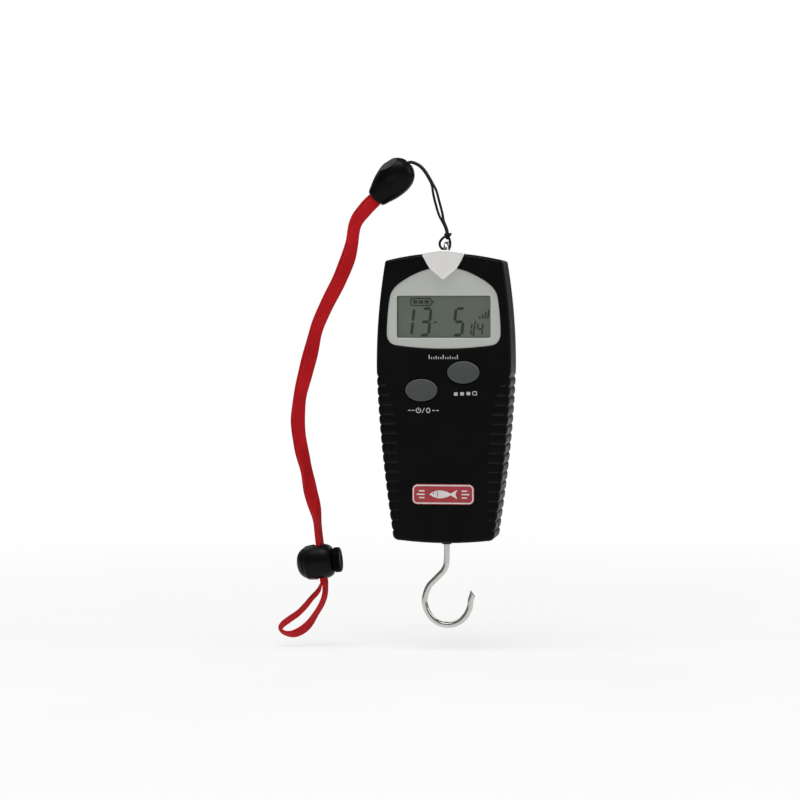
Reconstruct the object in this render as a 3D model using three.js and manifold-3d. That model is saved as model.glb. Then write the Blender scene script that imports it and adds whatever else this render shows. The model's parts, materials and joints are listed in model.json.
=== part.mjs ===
// Digital fish scale with a wrist lanyard, in millimetres.
// +Z is up along the load line, the display faces -Y, and the origin is the centre of the flat back.

import * as THREE from 'three';
import { mergeVertices } from 'three/addons/utils/BufferGeometryUtils.js';
import Module from 'manifold-3d';

const wasm = await Module();
wasm.setup();

// ---------------------------------------------------------------- driving dimensions

const DEPTH = 26; // housing, front to back
const FRONT = -DEPTH;
const AXIS_Y = -DEPTH / 2; // the load line, and the parting plane of the two shells
const WALL = 2.2;
const FRONT_WALL = 2.6;
const INNER_FRONT = FRONT + FRONT_WALL;

const HALF_WIDTH = 30.1; // at the widest height
const WIDEST_Z = 15;
const SHOULDER_Z = 61;
const TOP_TAPER = 3.9; // how far the side leans in from the widest height to the shoulder
const FOOT_Z = -60;
const FOOT_TAPER = 7.2;
const TOP_Z = 64.4;
const FOOT_EDGE_Z = -63.25;
const BOTTOM_Z = -64.35;
const FOOT_CORNER = 3.6;
const EDGE_ROUND = 2.2;
const EYE_HOLE = 5.65;
const HOOK_HOLE = 2.8;

const RIB_COUNT = 17;
const RIB_TOP_Z = 9.45;
const RIB_PITCH = 4.26;
const RIB_DEPTH = 0.65;

const WINDOW = { x: 20.9, low: 26.8, high: 45.5, corner: 0.9 }; // half width, heights, corner radius
const BEZEL_FRONT = FRONT + 0.8;
const BEZEL_BACK = FRONT + 1.8;

const KEYS = [
  { name: 'memory', x: 8.9, z: 11.6 },
  { name: 'power', x: -9.8, z: 3.7 },
];
const KEY_HALF = { x: 7.3, z: 5.05 };
const KEY_GAP = 0.4;

const BOARD = { x: 22, low: -12, high: 50, front: -18.6, back: -17 };
const BOARD_SCREWS = [[-18.5, -8], [18.5, -8]];
const BOARD_POST = { radius: 2.6, pilot: 1.4, hole: 1.5 };
const CASE_SCREWS = [[-19, 54], [19, 54], [-17.5, -54], [17.5, -54]];
const CASE_POST = { front: 3, rear: 3.9, pilot: 1.5, headHole: 2.9, headDepth: 4 };

const BAY = { x: 11.2, low: 5.2, high: 54.8, floor: -13.1, wall: 1.9, end: 2.8 }; // battery bay
const DOOR = { x: 12.5, hinge: 4.4, top: 56, thick: 1.7, gap: 0.3 };
const CELL = { radius: 5.25, length: 43.5, nub: 1, nubRadius: 1.9, x: 5.5, y: -7.5 };
const DOOR_AXIS_Y = -DOOR.thick / 2 - 0.1;

const BEAM = { x: 10, low: -58, high: -28, front: -18, back: -8 }; // load cell
const BEAM_SCREWS = [-6, 6];
const BEAM_SCREW_Z = -30.8;
const BEAM_POST = { radius: 2.8, pilot: 1.55, hole: 1.8 };

const HOOK_WIRE = 1.35;
const HOOK_TOP = -49.9;
const HOOK_BEND = { x: 0.45, z: -90.9, radius: 10.4, depth: 11.2 };
const EYE_WIRE = 1.25;
const EYE_RADIUS = 3;
const EYE_Z = 65.55;
const CAP_TOP_Z = 65.6;

const CORD = 0.575;
const PIVOT_Z = EYE_Z + EYE_RADIUS; // the eye wire that the cord hangs on
const CORD_MOUTH = new THREE.Vector3(-16.9, AXIS_Y, 105);
const CONNECTOR = { at: new THREE.Vector3(-24.5, AXIS_Y, 97.2), turn: 0.75, flat: 0.72, half: 12 };

const STRAP = { width: 6.2, thick: 2.6, slim: 3.8, slimThick: 4.2 };
const STRAP_GAP = 3.2; // between the two strap solids, at the bend
const LOOP_STRIP = { width: 5, thick: 1.5 };
const LOCK = {
  at: new THREE.Vector3(-59.9, AXIS_Y, -74.6), tilt: -0.117,
  left: -8.4, right: 8, radius: 8, bore: 5.95, boreEnd: -6.4, strapX: 2.7,
};
const LOCK_HOLE = { x: 2.3, y: 3.1, z: 12 }; // half sizes of the slot that the strap passes through
const PLUNGER = { radius: 5.65, neck: 4.9, inner: -1, tip: 12, travel: 2.5 };

// ---------------------------------------------------------------- materials

const finish = (color, roughness, metalness) =>
  new THREE.MeshStandardMaterial({ color, roughness, metalness });

const LOOK = {
  shell: () => finish(0x131315, 0.42, 0),
  silver: () => finish(0xb4b6b0, 0.35, 0.7),
  clear: () => finish(0xdfe5e2, 0.05, 0),
  glass: () => finish(0x7d8579, 0.2, 0),
  whitePlastic: () => finish(0xdcdcd6, 0.6, 0),
  rubber: () => finish(0x4a4e4c, 0.8, 0),
  blackRubber: () => finish(0x161616, 0.85, 0),
  badge: () => finish(0xa8141e, 0.3, 0),
  board: () => finish(0x1f6b3a, 0.5, 0),
  resin: () => finish(0x0c0c0c, 0.3, 0),
  steel: () => finish(0xc4c6c8, 0.22, 1),
  zinc: () => finish(0x9b9da0, 0.4, 1),
  nickel: () => finish(0xcbc7b8, 0.3, 1),
  aluminium: () => finish(0xb9bcc0, 0.45, 1),
  batteryLabel: () => finish(0x2b4a6b, 0.4, 0.1),
  foil: () => finish(0xc9862f, 0.4, 0.2),
  cable: () => finish(0xd8d8d2, 0.55, 0),
  cord: () => finish(0x101012, 0.8, 0),
  strap: () => finish(0xa5191e, 0.75, 0),
};

// ---------------------------------------------------------------- solids: joining and cutting

function toSolid(geometry) {
  const bare = geometry.clone();
  bare.deleteAttribute('normal');
  bare.deleteAttribute('uv');
  const merged = mergeVertices(bare, 1e-4);
  return new wasm.Manifold(new wasm.Mesh({
    numProp: 3,
    vertProperties: new Float32Array(merged.attributes.position.array),
    triVerts: new Uint32Array(merged.index.array),
  }));
}

function toGeometry(solid) {
  const mesh = solid.getMesh();
  const geometry = new THREE.BufferGeometry();
  geometry.setAttribute('position', new THREE.BufferAttribute(new Float32Array(mesh.vertProperties), 3));
  geometry.setIndex(new THREE.BufferAttribute(new Uint32Array(mesh.triVerts), 1));
  geometry.computeVertexNormals();
  return geometry;
}

const join = (...parts) => toGeometry(parts.map(toSolid).reduce((sum, part) => sum.add(part)));
const cut = (body, ...tools) =>
  toGeometry(tools.map(toSolid).reduce((rest, tool) => rest.subtract(tool), toSolid(body)));
const keep = (body, region) => toGeometry(toSolid(body).intersect(toSolid(region)));

// ---------------------------------------------------------------- basic shapes

function block(x0, x1, y0, y1, z0, z1) {
  const box = new THREE.BoxGeometry(x1 - x0, y1 - y0, z1 - z0);
  return box.translate((x0 + x1) / 2, (y0 + y1) / 2, (z0 + z1) / 2);
}

function rodZ(radius, z0, z1, x = 0, y = AXIS_Y, sides = 24) {
  const rod = new THREE.CylinderGeometry(radius, radius, z1 - z0, sides).rotateX(Math.PI / 2);
  return rod.translate(x, y, (z0 + z1) / 2);
}

function rodY(radius, y0, y1, x, z, sides = 20) {
  const rod = new THREE.CylinderGeometry(radius, radius, Math.abs(y1 - y0), sides);
  return rod.translate(x, (y0 + y1) / 2, z);
}

// A shape drawn in X and Z, given thickness from y = back to y = front.
function slab(shape, back, front, options = {}) {
  const depth = Math.abs(back - front);
  const solid = new THREE.ExtrudeGeometry(shape, {
    depth, bevelEnabled: false, curveSegments: 6, ...options,
  });
  return solid.rotateX(Math.PI / 2).translate(0, Math.max(back, front), 0);
}

// The same with a rounded edge of the given size at both faces.
function roundedSlab(shape, back, front, edge, segments = 2) {
  return slab(shape, back - edge, front + edge, {
    bevelEnabled: true, bevelThickness: edge, bevelSize: edge, bevelOffset: -edge,
    bevelSegments: segments,
  });
}

function roundedRectangle(halfX, low, high, radius) {
  const shape = new THREE.Shape();
  shape.moveTo(-halfX + radius, low);
  shape.lineTo(halfX - radius, low);
  shape.absarc(halfX - radius, low + radius, radius, -Math.PI / 2, 0);
  shape.absarc(halfX - radius, high - radius, radius, 0, Math.PI / 2);
  shape.absarc(-halfX + radius, high - radius, radius, Math.PI / 2, Math.PI);
  shape.absarc(-halfX + radius, low + radius, radius, Math.PI, Math.PI * 1.5);
  return shape;
}

function oval(halfX, halfZ, x, z) {
  const shape = new THREE.Shape();
  shape.absellipse(x, z, halfX, halfZ, 0, Math.PI * 2);
  return shape;
}

// Turns a profile of [radius, height] pairs about the Z axis at (x, y).
function turned(profile, x = 0, y = AXIS_Y, sides = 24) {
  const points = profile.map(([r, h]) => new THREE.Vector2(r, h));
  return new THREE.LatheGeometry(points, sides).rotateX(Math.PI / 2).translate(x, y, 0);
}

function tube(curve, radius, steps, sides = 8) {
  const section = new THREE.Shape().absellipse(0, 0, radius, radius, 0, Math.PI * 2);
  return new THREE.ExtrudeGeometry(section, { extrudePath: curve, steps, curveSegments: sides / 2 });
}

// A band swept along a curve in the XZ plane: `thick` is across Y and `width` lies in the plane.
function band(curve, width, thick, steps) {
  const section = new THREE.Shape();
  section.moveTo(-thick / 2, -width / 2);
  section.lineTo(thick / 2, -width / 2);
  section.lineTo(thick / 2, width / 2);
  section.lineTo(-thick / 2, width / 2);
  section.closePath();
  return new THREE.ExtrudeGeometry(section, { extrudePath: curve, steps });
}

const onPlane = (points) => new THREE.CatmullRomCurve3(
  points.map(([x, z]) => new THREE.Vector3(x, AXIS_Y, z)), false, 'centripetal');

class PartOfCurve extends THREE.Curve {
  constructor(curve, from, to) {
    super();
    Object.assign(this, { curve, from, to });
  }

  getPoint(t, target = new THREE.Vector3()) {
    return this.curve.getPointAt(this.from + (this.to - this.from) * t, target);
  }
}

class Coil extends THREE.Curve {
  constructor(radiusFrom, radiusTo, rise, turns) {
    super();
    Object.assign(this, { radiusFrom, radiusTo, rise, turns });
  }

  getPoint(t, target = new THREE.Vector3()) {
    const angle = t * this.turns * Math.PI * 2;
    const radius = this.radiusFrom + (this.radiusTo - this.radiusFrom) * t;
    return target.set(radius * Math.cos(angle), radius * Math.sin(angle), this.rise * t);
  }
}

const model = new THREE.Group();

function addTo(parent, name, geometry, material) {
  const mesh = new THREE.Mesh(geometry, material);
  mesh.name = name;
  parent.add(mesh);
  return mesh;
}
const add = (name, geometry, material) => addTo(model, name, geometry, material);

// ---------------------------------------------------------------- housing outline

function sideX(z) {
  if (z > WIDEST_Z) return HALF_WIDTH - TOP_TAPER * ((z - WIDEST_Z) / (SHOULDER_Z - WIDEST_Z)) ** 2;
  return HALF_WIDTH - FOOT_TAPER * ((WIDEST_Z - z) / (WIDEST_Z - FOOT_Z)) ** 1.6;
}

const topZ = (x) => TOP_Z - (TOP_Z - SHOULDER_Z) * (x / sideX(SHOULDER_Z)) ** 2;

// Points up the right side, from the foot to the shoulder.
function sidePoints(ribbed, inset) {
  const points = [];
  if (ribbed) {
    for (let i = RIB_COUNT - 1; i >= 0; i -= 1) {
      const z = RIB_TOP_Z - RIB_PITCH * i;
      for (const [step, depth] of [[-RIB_DEPTH, 0], [0, RIB_DEPTH], [RIB_DEPTH, 0]]) {
        points.push([sideX(z + step) - depth, z + step]);
      }
    }
  } else {
    for (let z = FOOT_Z; z < RIB_TOP_Z; z += 10) points.push([sideX(z) - inset, z]);
  }
  const plainSteps = 6;
  const plainFrom = RIB_TOP_Z + 2.55;
  for (let i = 0; i <= plainSteps; i += 1) {
    const z = plainFrom + (SHOULDER_Z - inset - plainFrom) * (i / plainSteps);
    points.push([sideX(z) - inset, z]);
  }
  return points;
}

function housingOutline(ribbed, inset = 0) {
  const side = sidePoints(ribbed, inset);
  const [footX, footZ] = side[0];
  const [shoulderX, shoulderZ] = side[side.length - 1];
  const edge = FOOT_EDGE_Z + inset;
  const flat = footX - FOOT_CORNER + inset / 2;
  const shape = new THREE.Shape();
  shape.moveTo(-footX, footZ);
  shape.quadraticCurveTo(-footX, edge, -flat, edge);
  shape.quadraticCurveTo(0, 2 * BOTTOM_Z - FOOT_EDGE_Z + inset, flat, edge);
  shape.quadraticCurveTo(footX, edge, footX, footZ);
  side.slice(1).forEach(([x, z]) => shape.lineTo(x, z));
  shape.quadraticCurveTo(0, 2 * TOP_Z - SHOULDER_Z - inset, -shoulderX, shoulderZ);
  side.slice(1, -1).reverse().forEach(([x, z]) => shape.lineTo(-x, z));
  shape.closePath();
  return shape;
}

function bezelOutline(grow = 0) {
  const shape = new THREE.Shape();
  shape.moveTo(-21.3 - grow, 23.5 - grow);
  shape.quadraticCurveTo(0, 20.5 - grow, 21.3 + grow, 23.5 - grow);
  shape.quadraticCurveTo(25.3 + grow, 24 - grow, 25.5 + grow, 29);
  shape.quadraticCurveTo(25.3 + grow, 38, 23.7 + grow, 47);
  shape.quadraticCurveTo(23.3 + grow, 50 + grow, 19.4 + grow, 51.9 + grow);
  shape.quadraticCurveTo(12, 58.4 + grow, 0, 58.4 + grow);
  shape.quadraticCurveTo(-12, 58.4 + grow, -19.4 - grow, 51.9 + grow);
  shape.quadraticCurveTo(-23.3 - grow, 50 + grow, -23.7 - grow, 47);
  shape.quadraticCurveTo(-25.3 - grow, 38, -25.5 - grow, 29);
  shape.quadraticCurveTo(-25.3 - grow, 24 - grow, -21.3 - grow, 23.5 - grow);
  return shape;
}

// ---------------------------------------------------------------- the two shells

const BADGE = { x: 13.9, low: -47.05, high: -37.95, corner: 2.4 };
const BEYOND = 5; // how far a cutting tool passes the surface that it cuts
const FAR_X = 50;
const FAR_Z = 80;

function housingShell() {
  const outside = roundedSlab(housingOutline(true), 0, FRONT, EDGE_ROUND);
  const inside = slab(housingOutline(false, WALL), -WALL, INNER_FRONT);
  return cut(outside, inside,
    rodZ(EYE_HOLE, TOP_Z - 6, TOP_Z + BEYOND, 0, AXIS_Y, 32),
    rodZ(HOOK_HOLE, BOTTOM_Z - BEYOND, BOTTOM_Z + 6));
}

function frontOpenings() {
  const through = INNER_FRONT + BEYOND;
  const keyHoles = KEYS.map(({ x, z }) =>
    slab(oval(KEY_HALF.x + KEY_GAP, KEY_HALF.z + KEY_GAP, x, z), through, FRONT - BEYOND));
  return [
    slab(bezelOutline(0.15), BEZEL_BACK, FRONT - BEYOND),
    block(-22.4, 22.4, FRONT - BEYOND, through, 25.4, 47),
    slab(roundedRectangle(BADGE.x + 0.2, BADGE.low - 0.2, BADGE.high + 0.2, BADGE.corner),
      FRONT + 0.25, FRONT - BEYOND),
    ...keyHoles,
  ];
}

function frontCase(shell) {
  const half = keep(shell, block(-FAR_X, FAR_X, FRONT - BEYOND, AXIS_Y, -FAR_Z, FAR_Z));
  const foot = INNER_FRONT - 0.5;
  const posts = CASE_SCREWS.map(([x, z]) => rodY(CASE_POST.front, foot, AXIS_Y, x, z, 16));
  const boardPosts = BOARD_SCREWS.map(([x, z]) =>
    rodY(BOARD_POST.radius, foot, BOARD.front - 0.05, x, z, 14));
  const pilots = CASE_SCREWS.map(([x, z]) =>
    rodY(CASE_POST.pilot, INNER_FRONT + 1, AXIS_Y + BEYOND, x, z, 10));
  const boardPilots = BOARD_SCREWS.map(([x, z]) =>
    rodY(BOARD_POST.pilot, INNER_FRONT + 0.4, AXIS_Y, x, z, 10));
  return cut(join(half, ...posts, ...boardPosts), ...pilots, ...boardPilots, ...frontOpenings());
}

// The rear shell carries the battery bay and its door seat, the screw posts and the load cell's posts.
function rearCase(shell) {
  const half = keep(shell, block(-FAR_X, FAR_X, AXIS_Y, BEYOND, -FAR_Z, FAR_Z));
  const backInside = -1;
  const bayX = BAY.x + BAY.wall;
  const bay = block(-bayX, bayX, BAY.floor - 1.2, backInside, BAY.low - BAY.end, BAY.high + BAY.end - 0.7);
  const posts = CASE_SCREWS.map(([x, z]) => rodY(CASE_POST.rear, AXIS_Y, backInside, x, z, 16));
  const beamPosts = BEAM_SCREWS.map((x) =>
    rodY(BEAM_POST.radius, BEAM.back, backInside, x, BEAM_SCREW_Z, 14));
  const pocket = block(-BAY.x, BAY.x, BAY.floor, BEYOND, BAY.low, BAY.high);
  const doorSeat = block(-DOOR.x - DOOR.gap, DOOR.x + DOOR.gap, -DOOR.thick - 0.2, BEYOND,
    DOOR.hinge - DOOR.thick / 2 - DOOR.gap, DOOR.top + DOOR.gap);
  const hingeBore = new THREE.CylinderGeometry(0.75, 0.75, 2 * DOOR.x + 3, 12)
    .rotateZ(Math.PI / 2).translate(0, DOOR_AXIS_Y, DOOR.hinge);
  const fingerNotch = slab(oval(4, 2.2, 0, DOOR.top + 0.4), -1.6, BEYOND);
  const screwHoles = CASE_SCREWS.map(([x, z]) => rodY(CASE_POST.pilot, AXIS_Y - 1, 1, x, z, 12));
  const headHoles = CASE_SCREWS.map(([x, z]) =>
    rodY(CASE_POST.headHole, -CASE_POST.headDepth, BEYOND, x, z, 16));
  const beamPilots = BEAM_SCREWS.map((x) =>
    rodY(BEAM_POST.pilot, BEAM.back - 1, -2.6, x, BEAM_SCREW_Z, 12));
  return cut(join(half, bay, ...posts, ...beamPosts),
    pocket, doorSeat, hingeBore, fingerNotch, ...screwHoles, ...headHoles, ...beamPilots);
}

const shell = housingShell();
add('front_case', frontCase(shell), LOOK.shell());
add('rear_case', rearCase(shell), LOOK.shell());

function screw(name, x, z, headY, tipY, headRadius, shankRadius, headThick, material) {
  const towardTip = Math.sign(tipY - headY);
  const neck = headY + towardTip * headThick;
  add(name, join(
    rodY(headRadius, headY, neck, x, z, 16),
    rodY(shankRadius, neck - towardTip * 0.2, tipY, x, z, 10)), material);
}

CASE_SCREWS.forEach(([x, z], i) =>
  screw(`case_screw_${i + 1}`, x, z, -1.8, -20, 2.5, 1.2, 1.9, LOOK.zinc()));

// ---------------------------------------------------------------- front trim

function displayBezel() {
  const plate = slab(bezelOutline(), BEZEL_BACK, BEZEL_FRONT, { curveSegments: 4 });
  const opening = roundedRectangle(WINDOW.x, WINDOW.low, WINDOW.high, WINDOW.corner);
  return cut(plate, slab(opening, FRONT + BEYOND, FRONT - 1));
}

// A shield whose top half wraps over the upper edge of the housing, narrowing toward the back, with
// a hole for the eye.
function topCap() {
  const half = 9.5;
  const face = new THREE.Shape();
  face.moveTo(-half, CAP_TOP_Z - 0.5);
  face.quadraticCurveTo(-half + 0.4, 61, -6, 57.6);
  face.quadraticCurveTo(-3.2, 54.6, 0, 52.6);
  face.quadraticCurveTo(3.2, 54.6, 6, 57.6);
  face.quadraticCurveTo(half - 0.4, 61, half, CAP_TOP_Z - 0.5);
  face.quadraticCurveTo(0, CAP_TOP_Z + 0.5, -half, CAP_TOP_Z - 0.5);
  const over = new THREE.Shape();
  over.moveTo(-half, topZ(half) + 0.05);
  for (let x = -half; x <= half + 0.01; x += half / 4) over.lineTo(x, topZ(x) + 0.05);
  over.lineTo(half, CAP_TOP_Z - 0.5);
  over.quadraticCurveTo(0, CAP_TOP_Z + 0.5, -half, CAP_TOP_Z - 0.5);
  const plan = new THREE.Shape();
  plan.moveTo(-half, FRONT - 1);
  plan.lineTo(half, FRONT - 1);
  plan.quadraticCurveTo(7.9, AXIS_Y, 6.2, -5);
  plan.quadraticCurveTo(5.6, -3.2, 3.8, -3);
  plan.lineTo(-3.8, -3);
  plan.quadraticCurveTo(-5.6, -3.2, -6.2, -5);
  plan.quadraticCurveTo(-7.9, AXIS_Y, -half, FRONT - 1);
  const column = new THREE.ExtrudeGeometry(plan, { depth: 10, bevelEnabled: false, curveSegments: 5 })
    .translate(0, 0, 60);
  return cut(
    join(roundedSlab(face, FRONT - 0.02, FRONT - 1.3, 0.4, 1), keep(slab(over, -3, FRONT - 0.6), column)),
    rodZ(4.8, 60, 70, 0, AXIS_Y, 32));
}

add('display_bezel', displayBezel(), LOOK.silver());
add('display_lens', slab(roundedRectangle(22, 25.75, 46.65, 1.2), INNER_FRONT, BEZEL_BACK + 0.05),
  LOOK.clear());
add('top_cap', topCap(), LOOK.silver());
add('badge_plate', slab(roundedRectangle(BADGE.x, BADGE.low, BADGE.high, BADGE.corner),
  FRONT + 0.23, FRONT - 0.4, { curveSegments: 3 }), LOOK.badge());

// ---------------------------------------------------------------- display and electronics

function lcdFrame() {
  return cut(block(-24.6, 24.6, INNER_FRONT + 0.1, -18.8, 23.2, 49),
    block(-23.3, 23.3, -40, -10, 24.3, 47.9));
}

function mainBoard() {
  const holes = BOARD_SCREWS.map(([x, z]) =>
    rodY(BOARD_POST.hole, BOARD.front - 1, BOARD.back + 1, x, z, 12));
  return cut(block(-BOARD.x, BOARD.x, BOARD.front, BOARD.back, BOARD.low, BOARD.high), ...holes);
}

add('lcd_panel', block(-23, 23, -23.2, -21.5, 24.6, 47.6), LOOK.glass());
add('lcd_frame', lcdFrame(), LOOK.whitePlastic());
add('zebra_strip', block(-20, 20, -21.4, -18.65, 25, 27.6), LOOK.blackRubber());
add('main_board', mainBoard(), LOOK.board());

const blob = turned([[0, 0], [5, 0], [4.6, 0.9], [3, 1.6], [0, 1.8]], 0, 0, 16);
add('chip_blob', blob.rotateX(-Math.PI / 2).translate(0, BOARD.back, 20), LOOK.resin());
BOARD_SCREWS.forEach(([x, z], i) =>
  screw(`board_screw_${i + 1}`, x, z, -15.4, -22.2, 2.3, 1.1, 1.55, LOOK.zinc()));

// ---------------------------------------------------------------- keys

// A domed oval key: stem, hidden flange, body and crown, drawn as [radius, distance in front of y = 0].
function keyGeometry() {
  const r = KEY_HALF.z;
  const profile = [
    [0, 21.9], [1.6, 21.9], [1.6, 22.2], [r + 0.9, 22.2], [r + 0.9, 23.1], [r, 23.1], [r, 26.1],
    [r - 0.35, 26.6], [r * 0.7, 27], [r * 0.35, 27.25], [0, 27.3],
  ];
  return turned(profile, 0, 0, 20).rotateX(Math.PI / 2).scale(KEY_HALF.x / KEY_HALF.z, 1, 1);
}

KEYS.forEach(({ name, x, z }) => {
  add(`${name}_button`, keyGeometry(), LOOK.rubber()).position.set(x, 0, z);
  const body = block(x - 3, x + 3, -20.6, BOARD.front, z - 3, z + 3);
  add(`${name}_switch`, join(body, rodY(1.4, -21, -20.5, x, z, 12)), LOOK.zinc());
});

// ---------------------------------------------------------------- battery bay

function batteryCell(name, x, nubUp, z0) {
  const r = CELL.radius;
  const top = CELL.length;
  const profile = [[0, 0], [r - 0.5, 0], [r, 0.5], [r, top - 0.5], [r - 0.5, top],
    [CELL.nubRadius, top], [CELL.nubRadius, top + CELL.nub], [0, top + CELL.nub]];
  const cell = turned(profile, 0, 0, 20);
  if (!nubUp) cell.rotateX(Math.PI).translate(0, 0, CELL.length + CELL.nub);
  add(name, cell, LOOK.batteryLabel()).position.set(x, CELL.y, z0);
}
batteryCell('battery_1', -CELL.x, true, 9.6);
batteryCell('battery_2', CELL.x, false, 5.9);

const PLATE = 0.4;
const SPRING_RISE = 3.2;
const contactPlate = (x0, x1, z) => block(x0, x1, -12, -3, z, z + PLATE);

function contactSpring(x, z, downward) {
  const coil = tube(new Coil(3.6, 2.2, SPRING_RISE, 2.5), 0.3, 20, 6);
  if (downward) coil.rotateX(Math.PI);
  return coil.translate(x, CELL.y, z);
}

const lowPlate = BAY.low + 0.02;
const highPlate = BAY.high - PLATE - 0.02;
add('contact_negative',
  join(contactPlate(-10.6, -0.8, lowPlate), contactSpring(-CELL.x, lowPlate + PLATE, false)),
  LOOK.nickel());
add('contact_positive', contactPlate(0.8, 10.6, lowPlate), LOOK.nickel());
add('contact_bridge',
  join(contactPlate(-10.6, 10.6, highPlate), contactSpring(CELL.x, highPlate, true)), LOOK.nickel());

// ---------------------------------------------------------------- battery door

const doorGroup = new THREE.Group();
doorGroup.position.set(0, DOOR_AXIS_Y, DOOR.hinge);
model.add(doorGroup);

// A panel with a hinge barrel and two stubs along its lower edge, and a latch lip near the top.
function doorGeometry() {
  const half = DOOR.thick / 2;
  const height = DOOR.top - DOOR.hinge;
  const stub = new THREE.CylinderGeometry(0.5, 0.5, 2 * DOOR.x + 2, 12).rotateZ(Math.PI / 2);
  const barrel = new THREE.CylinderGeometry(half, half, 2 * DOOR.x, 20).rotateZ(Math.PI / 2);
  const panel = block(-DOOR.x, DOOR.x, -half, half, 0, height);
  const lip = block(-4, 4, -half - 1.6, 0, BAY.high - DOOR.hinge - 1.6, BAY.high - DOOR.hinge - 0.6);
  return join(panel, barrel, stub, lip);
}
addTo(doorGroup, 'battery_door', doorGeometry(), LOOK.shell());

// ---------------------------------------------------------------- load cell

// A bar slit from both sides, so that it bends at the round hole between its two ends.
function loadCell() {
  const width = BEAM.x;
  const screwHoles = BEAM_SCREWS.map((x) =>
    rodY(BEAM_POST.hole, BEAM.front - 1, BEAM.back + 1, x, BEAM_SCREW_Z, 14));
  return cut(
    block(-width, width, BEAM.front, BEAM.back - 0.05, BEAM.low, BEAM.high),
    block(-width + 3.5, width + 1, -40, 0, -52.5, -49),
    block(-width - 1, width - 3.5, -40, 0, -38, -34.5),
    rodY(4.2, BEAM.front - 1, BEAM.back + 1, 0, -43.5, 24),
    rodZ(1.8, BEAM.low - 1, -50, 0, AXIS_Y, 16),
    ...screwHoles);
}

add('load_cell', loadCell(), LOOK.aluminium());
add('strain_gauge', block(BEAM.x + 0.05, BEAM.x + 0.6, -15.5, -10.5, -46, -40), LOOK.foil());
BEAM_SCREWS.forEach((x, i) =>
  screw(`load_cell_screw_${i + 1}`, x, BEAM_SCREW_Z, -20.3, -3.4, 2.6, 1.25, 2.2, LOOK.zinc()));

const cablePath = new THREE.CatmullRomCurve3([
  [11.6, -13, -43], [13.5, -13.5, -30], [12, -15, -18], [8, -16, -9], [8, -16, -6],
].map(([x, y, z]) => new THREE.Vector3(x, y, z)));
add('signal_cable', tube(cablePath, 0.7, 14, 6), LOOK.cable());

// ---------------------------------------------------------------- hook

function hookCurve() {
  const points = [[0, HOOK_TOP], [0, -60], [0, -72.5], [-1, -77], [-4.4, -80.8], [-8.1, -84.9]];
  const stretch = 9;
  for (let i = 0; i <= stretch; i += 1) {
    const angle = Math.PI * (0.98 + 1.02 * (i / stretch));
    points.push([
      HOOK_BEND.x + HOOK_BEND.radius * Math.cos(angle),
      HOOK_BEND.z + HOOK_BEND.depth * Math.sin(angle),
    ]);
  }
  points.push([11.8, -87.4]);
  return onPlane(points);
}

add('hook', tube(hookCurve(), HOOK_WIRE, 32, 8), LOOK.steel());
add('hook_nut', cut(rodZ(3.2, -52.2, -49.6, 0, AXIS_Y, 6), rodZ(1.65, -53, -49, 0, AXIS_Y, 16)),
  LOOK.zinc());
add('hook_bushing', turned([
  [1.75, -66.3], [2.6, -66.3], [2.6, -61.9], [4, -61.9], [4, -60.55], [1.75, -60.55], [1.75, -66.3],
]), LOOK.shell());

// ---------------------------------------------------------------- hanging eye

function bailCurve() {
  const points = [[-EYE_RADIUS, 62.5]];
  const stretch = 8;
  for (let i = 0; i <= stretch; i += 1) {
    const angle = Math.PI * (1 - i / stretch);
    points.push([EYE_RADIUS * Math.cos(angle), EYE_Z + EYE_RADIUS * Math.sin(angle)]);
  }
  points.push([EYE_RADIUS, 62.5]);
  return new THREE.CatmullRomCurve3(points.map(([y, z]) => new THREE.Vector3(0, AXIS_Y + y, z)));
}

add('hanging_eye', join(
  tube(bailCurve(), EYE_WIRE, 14, 8),
  rodZ(4.3, 61.6, 64.9, 0, AXIS_Y, 20),
  rodZ(2, 57.6, 62, 0, AXIS_Y, 16)), LOOK.steel());
add('eye_nut', cut(rodZ(4.2, 57.8, 59.9, 0, AXIS_Y, 6), rodZ(2.25, 57, 61, 0, AXIS_Y, 18)),
  LOOK.zinc());
add('eye_bushing', turned([
  [2.3, 60.2], [7, 60.2], [7, 61.85], [5.5, 61.85], [5.5, 64.2], [4.65, 64.2], [4.65, 61.3],
  [2.3, 61.3], [2.3, 60.2],
], 0, AXIS_Y, 20), LOOK.nickel());

// ---------------------------------------------------------------- cord

function cordLoop() {
  const ring = new THREE.TorusGeometry(2.05, CORD, 6, 14).rotateX(Math.PI / 2);
  ring.translate(0, AXIS_Y, PIVOT_Z);
  const knot = new THREE.SphereGeometry(1, 10, 6).scale(1.9, 1.3, 1.7).translate(0.2, AXIS_Y, 72.2);
  const path = onPlane([
    [0.2, 71.8], [-0.4, 75.5], [-2.4, 80.3], [-6, 94.8], [-8.4, 99.6], [-10.6, 102.8], [-13, 104.6],
    [CORD_MOUTH.x + 0.4, CORD_MOUTH.z + 0.3],
  ]);
  const section = new THREE.Shape().absellipse(0, 0, CORD, 2 * CORD, 0, Math.PI * 2);
  const strands = new THREE.ExtrudeGeometry(section, { extrudePath: path, steps: 14, curveSegments: 4 });
  return join(ring, knot, strands);
}
add('cord_loop', cordLoop(), LOOK.cord());

// ---------------------------------------------------------------- connector

const connector = new THREE.Group();
connector.position.copy(CONNECTOR.at);
connector.rotation.y = CONNECTOR.turn;
model.add(connector);

// Radius and height along the long axis, from the strap's end to the broad end at the cord.
const DROP = [
  [0, -12], [3.4, -11.8], [4.7, -10.6], [5.4, -8.6], [6.9, -4.6], [7.8, -0.4],
  [7.95, 2.6], [7.5, 5.4], [6.2, 7.9], [4.2, 9.7], [2.4, 10.6], [0, 10.9],
];

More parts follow.
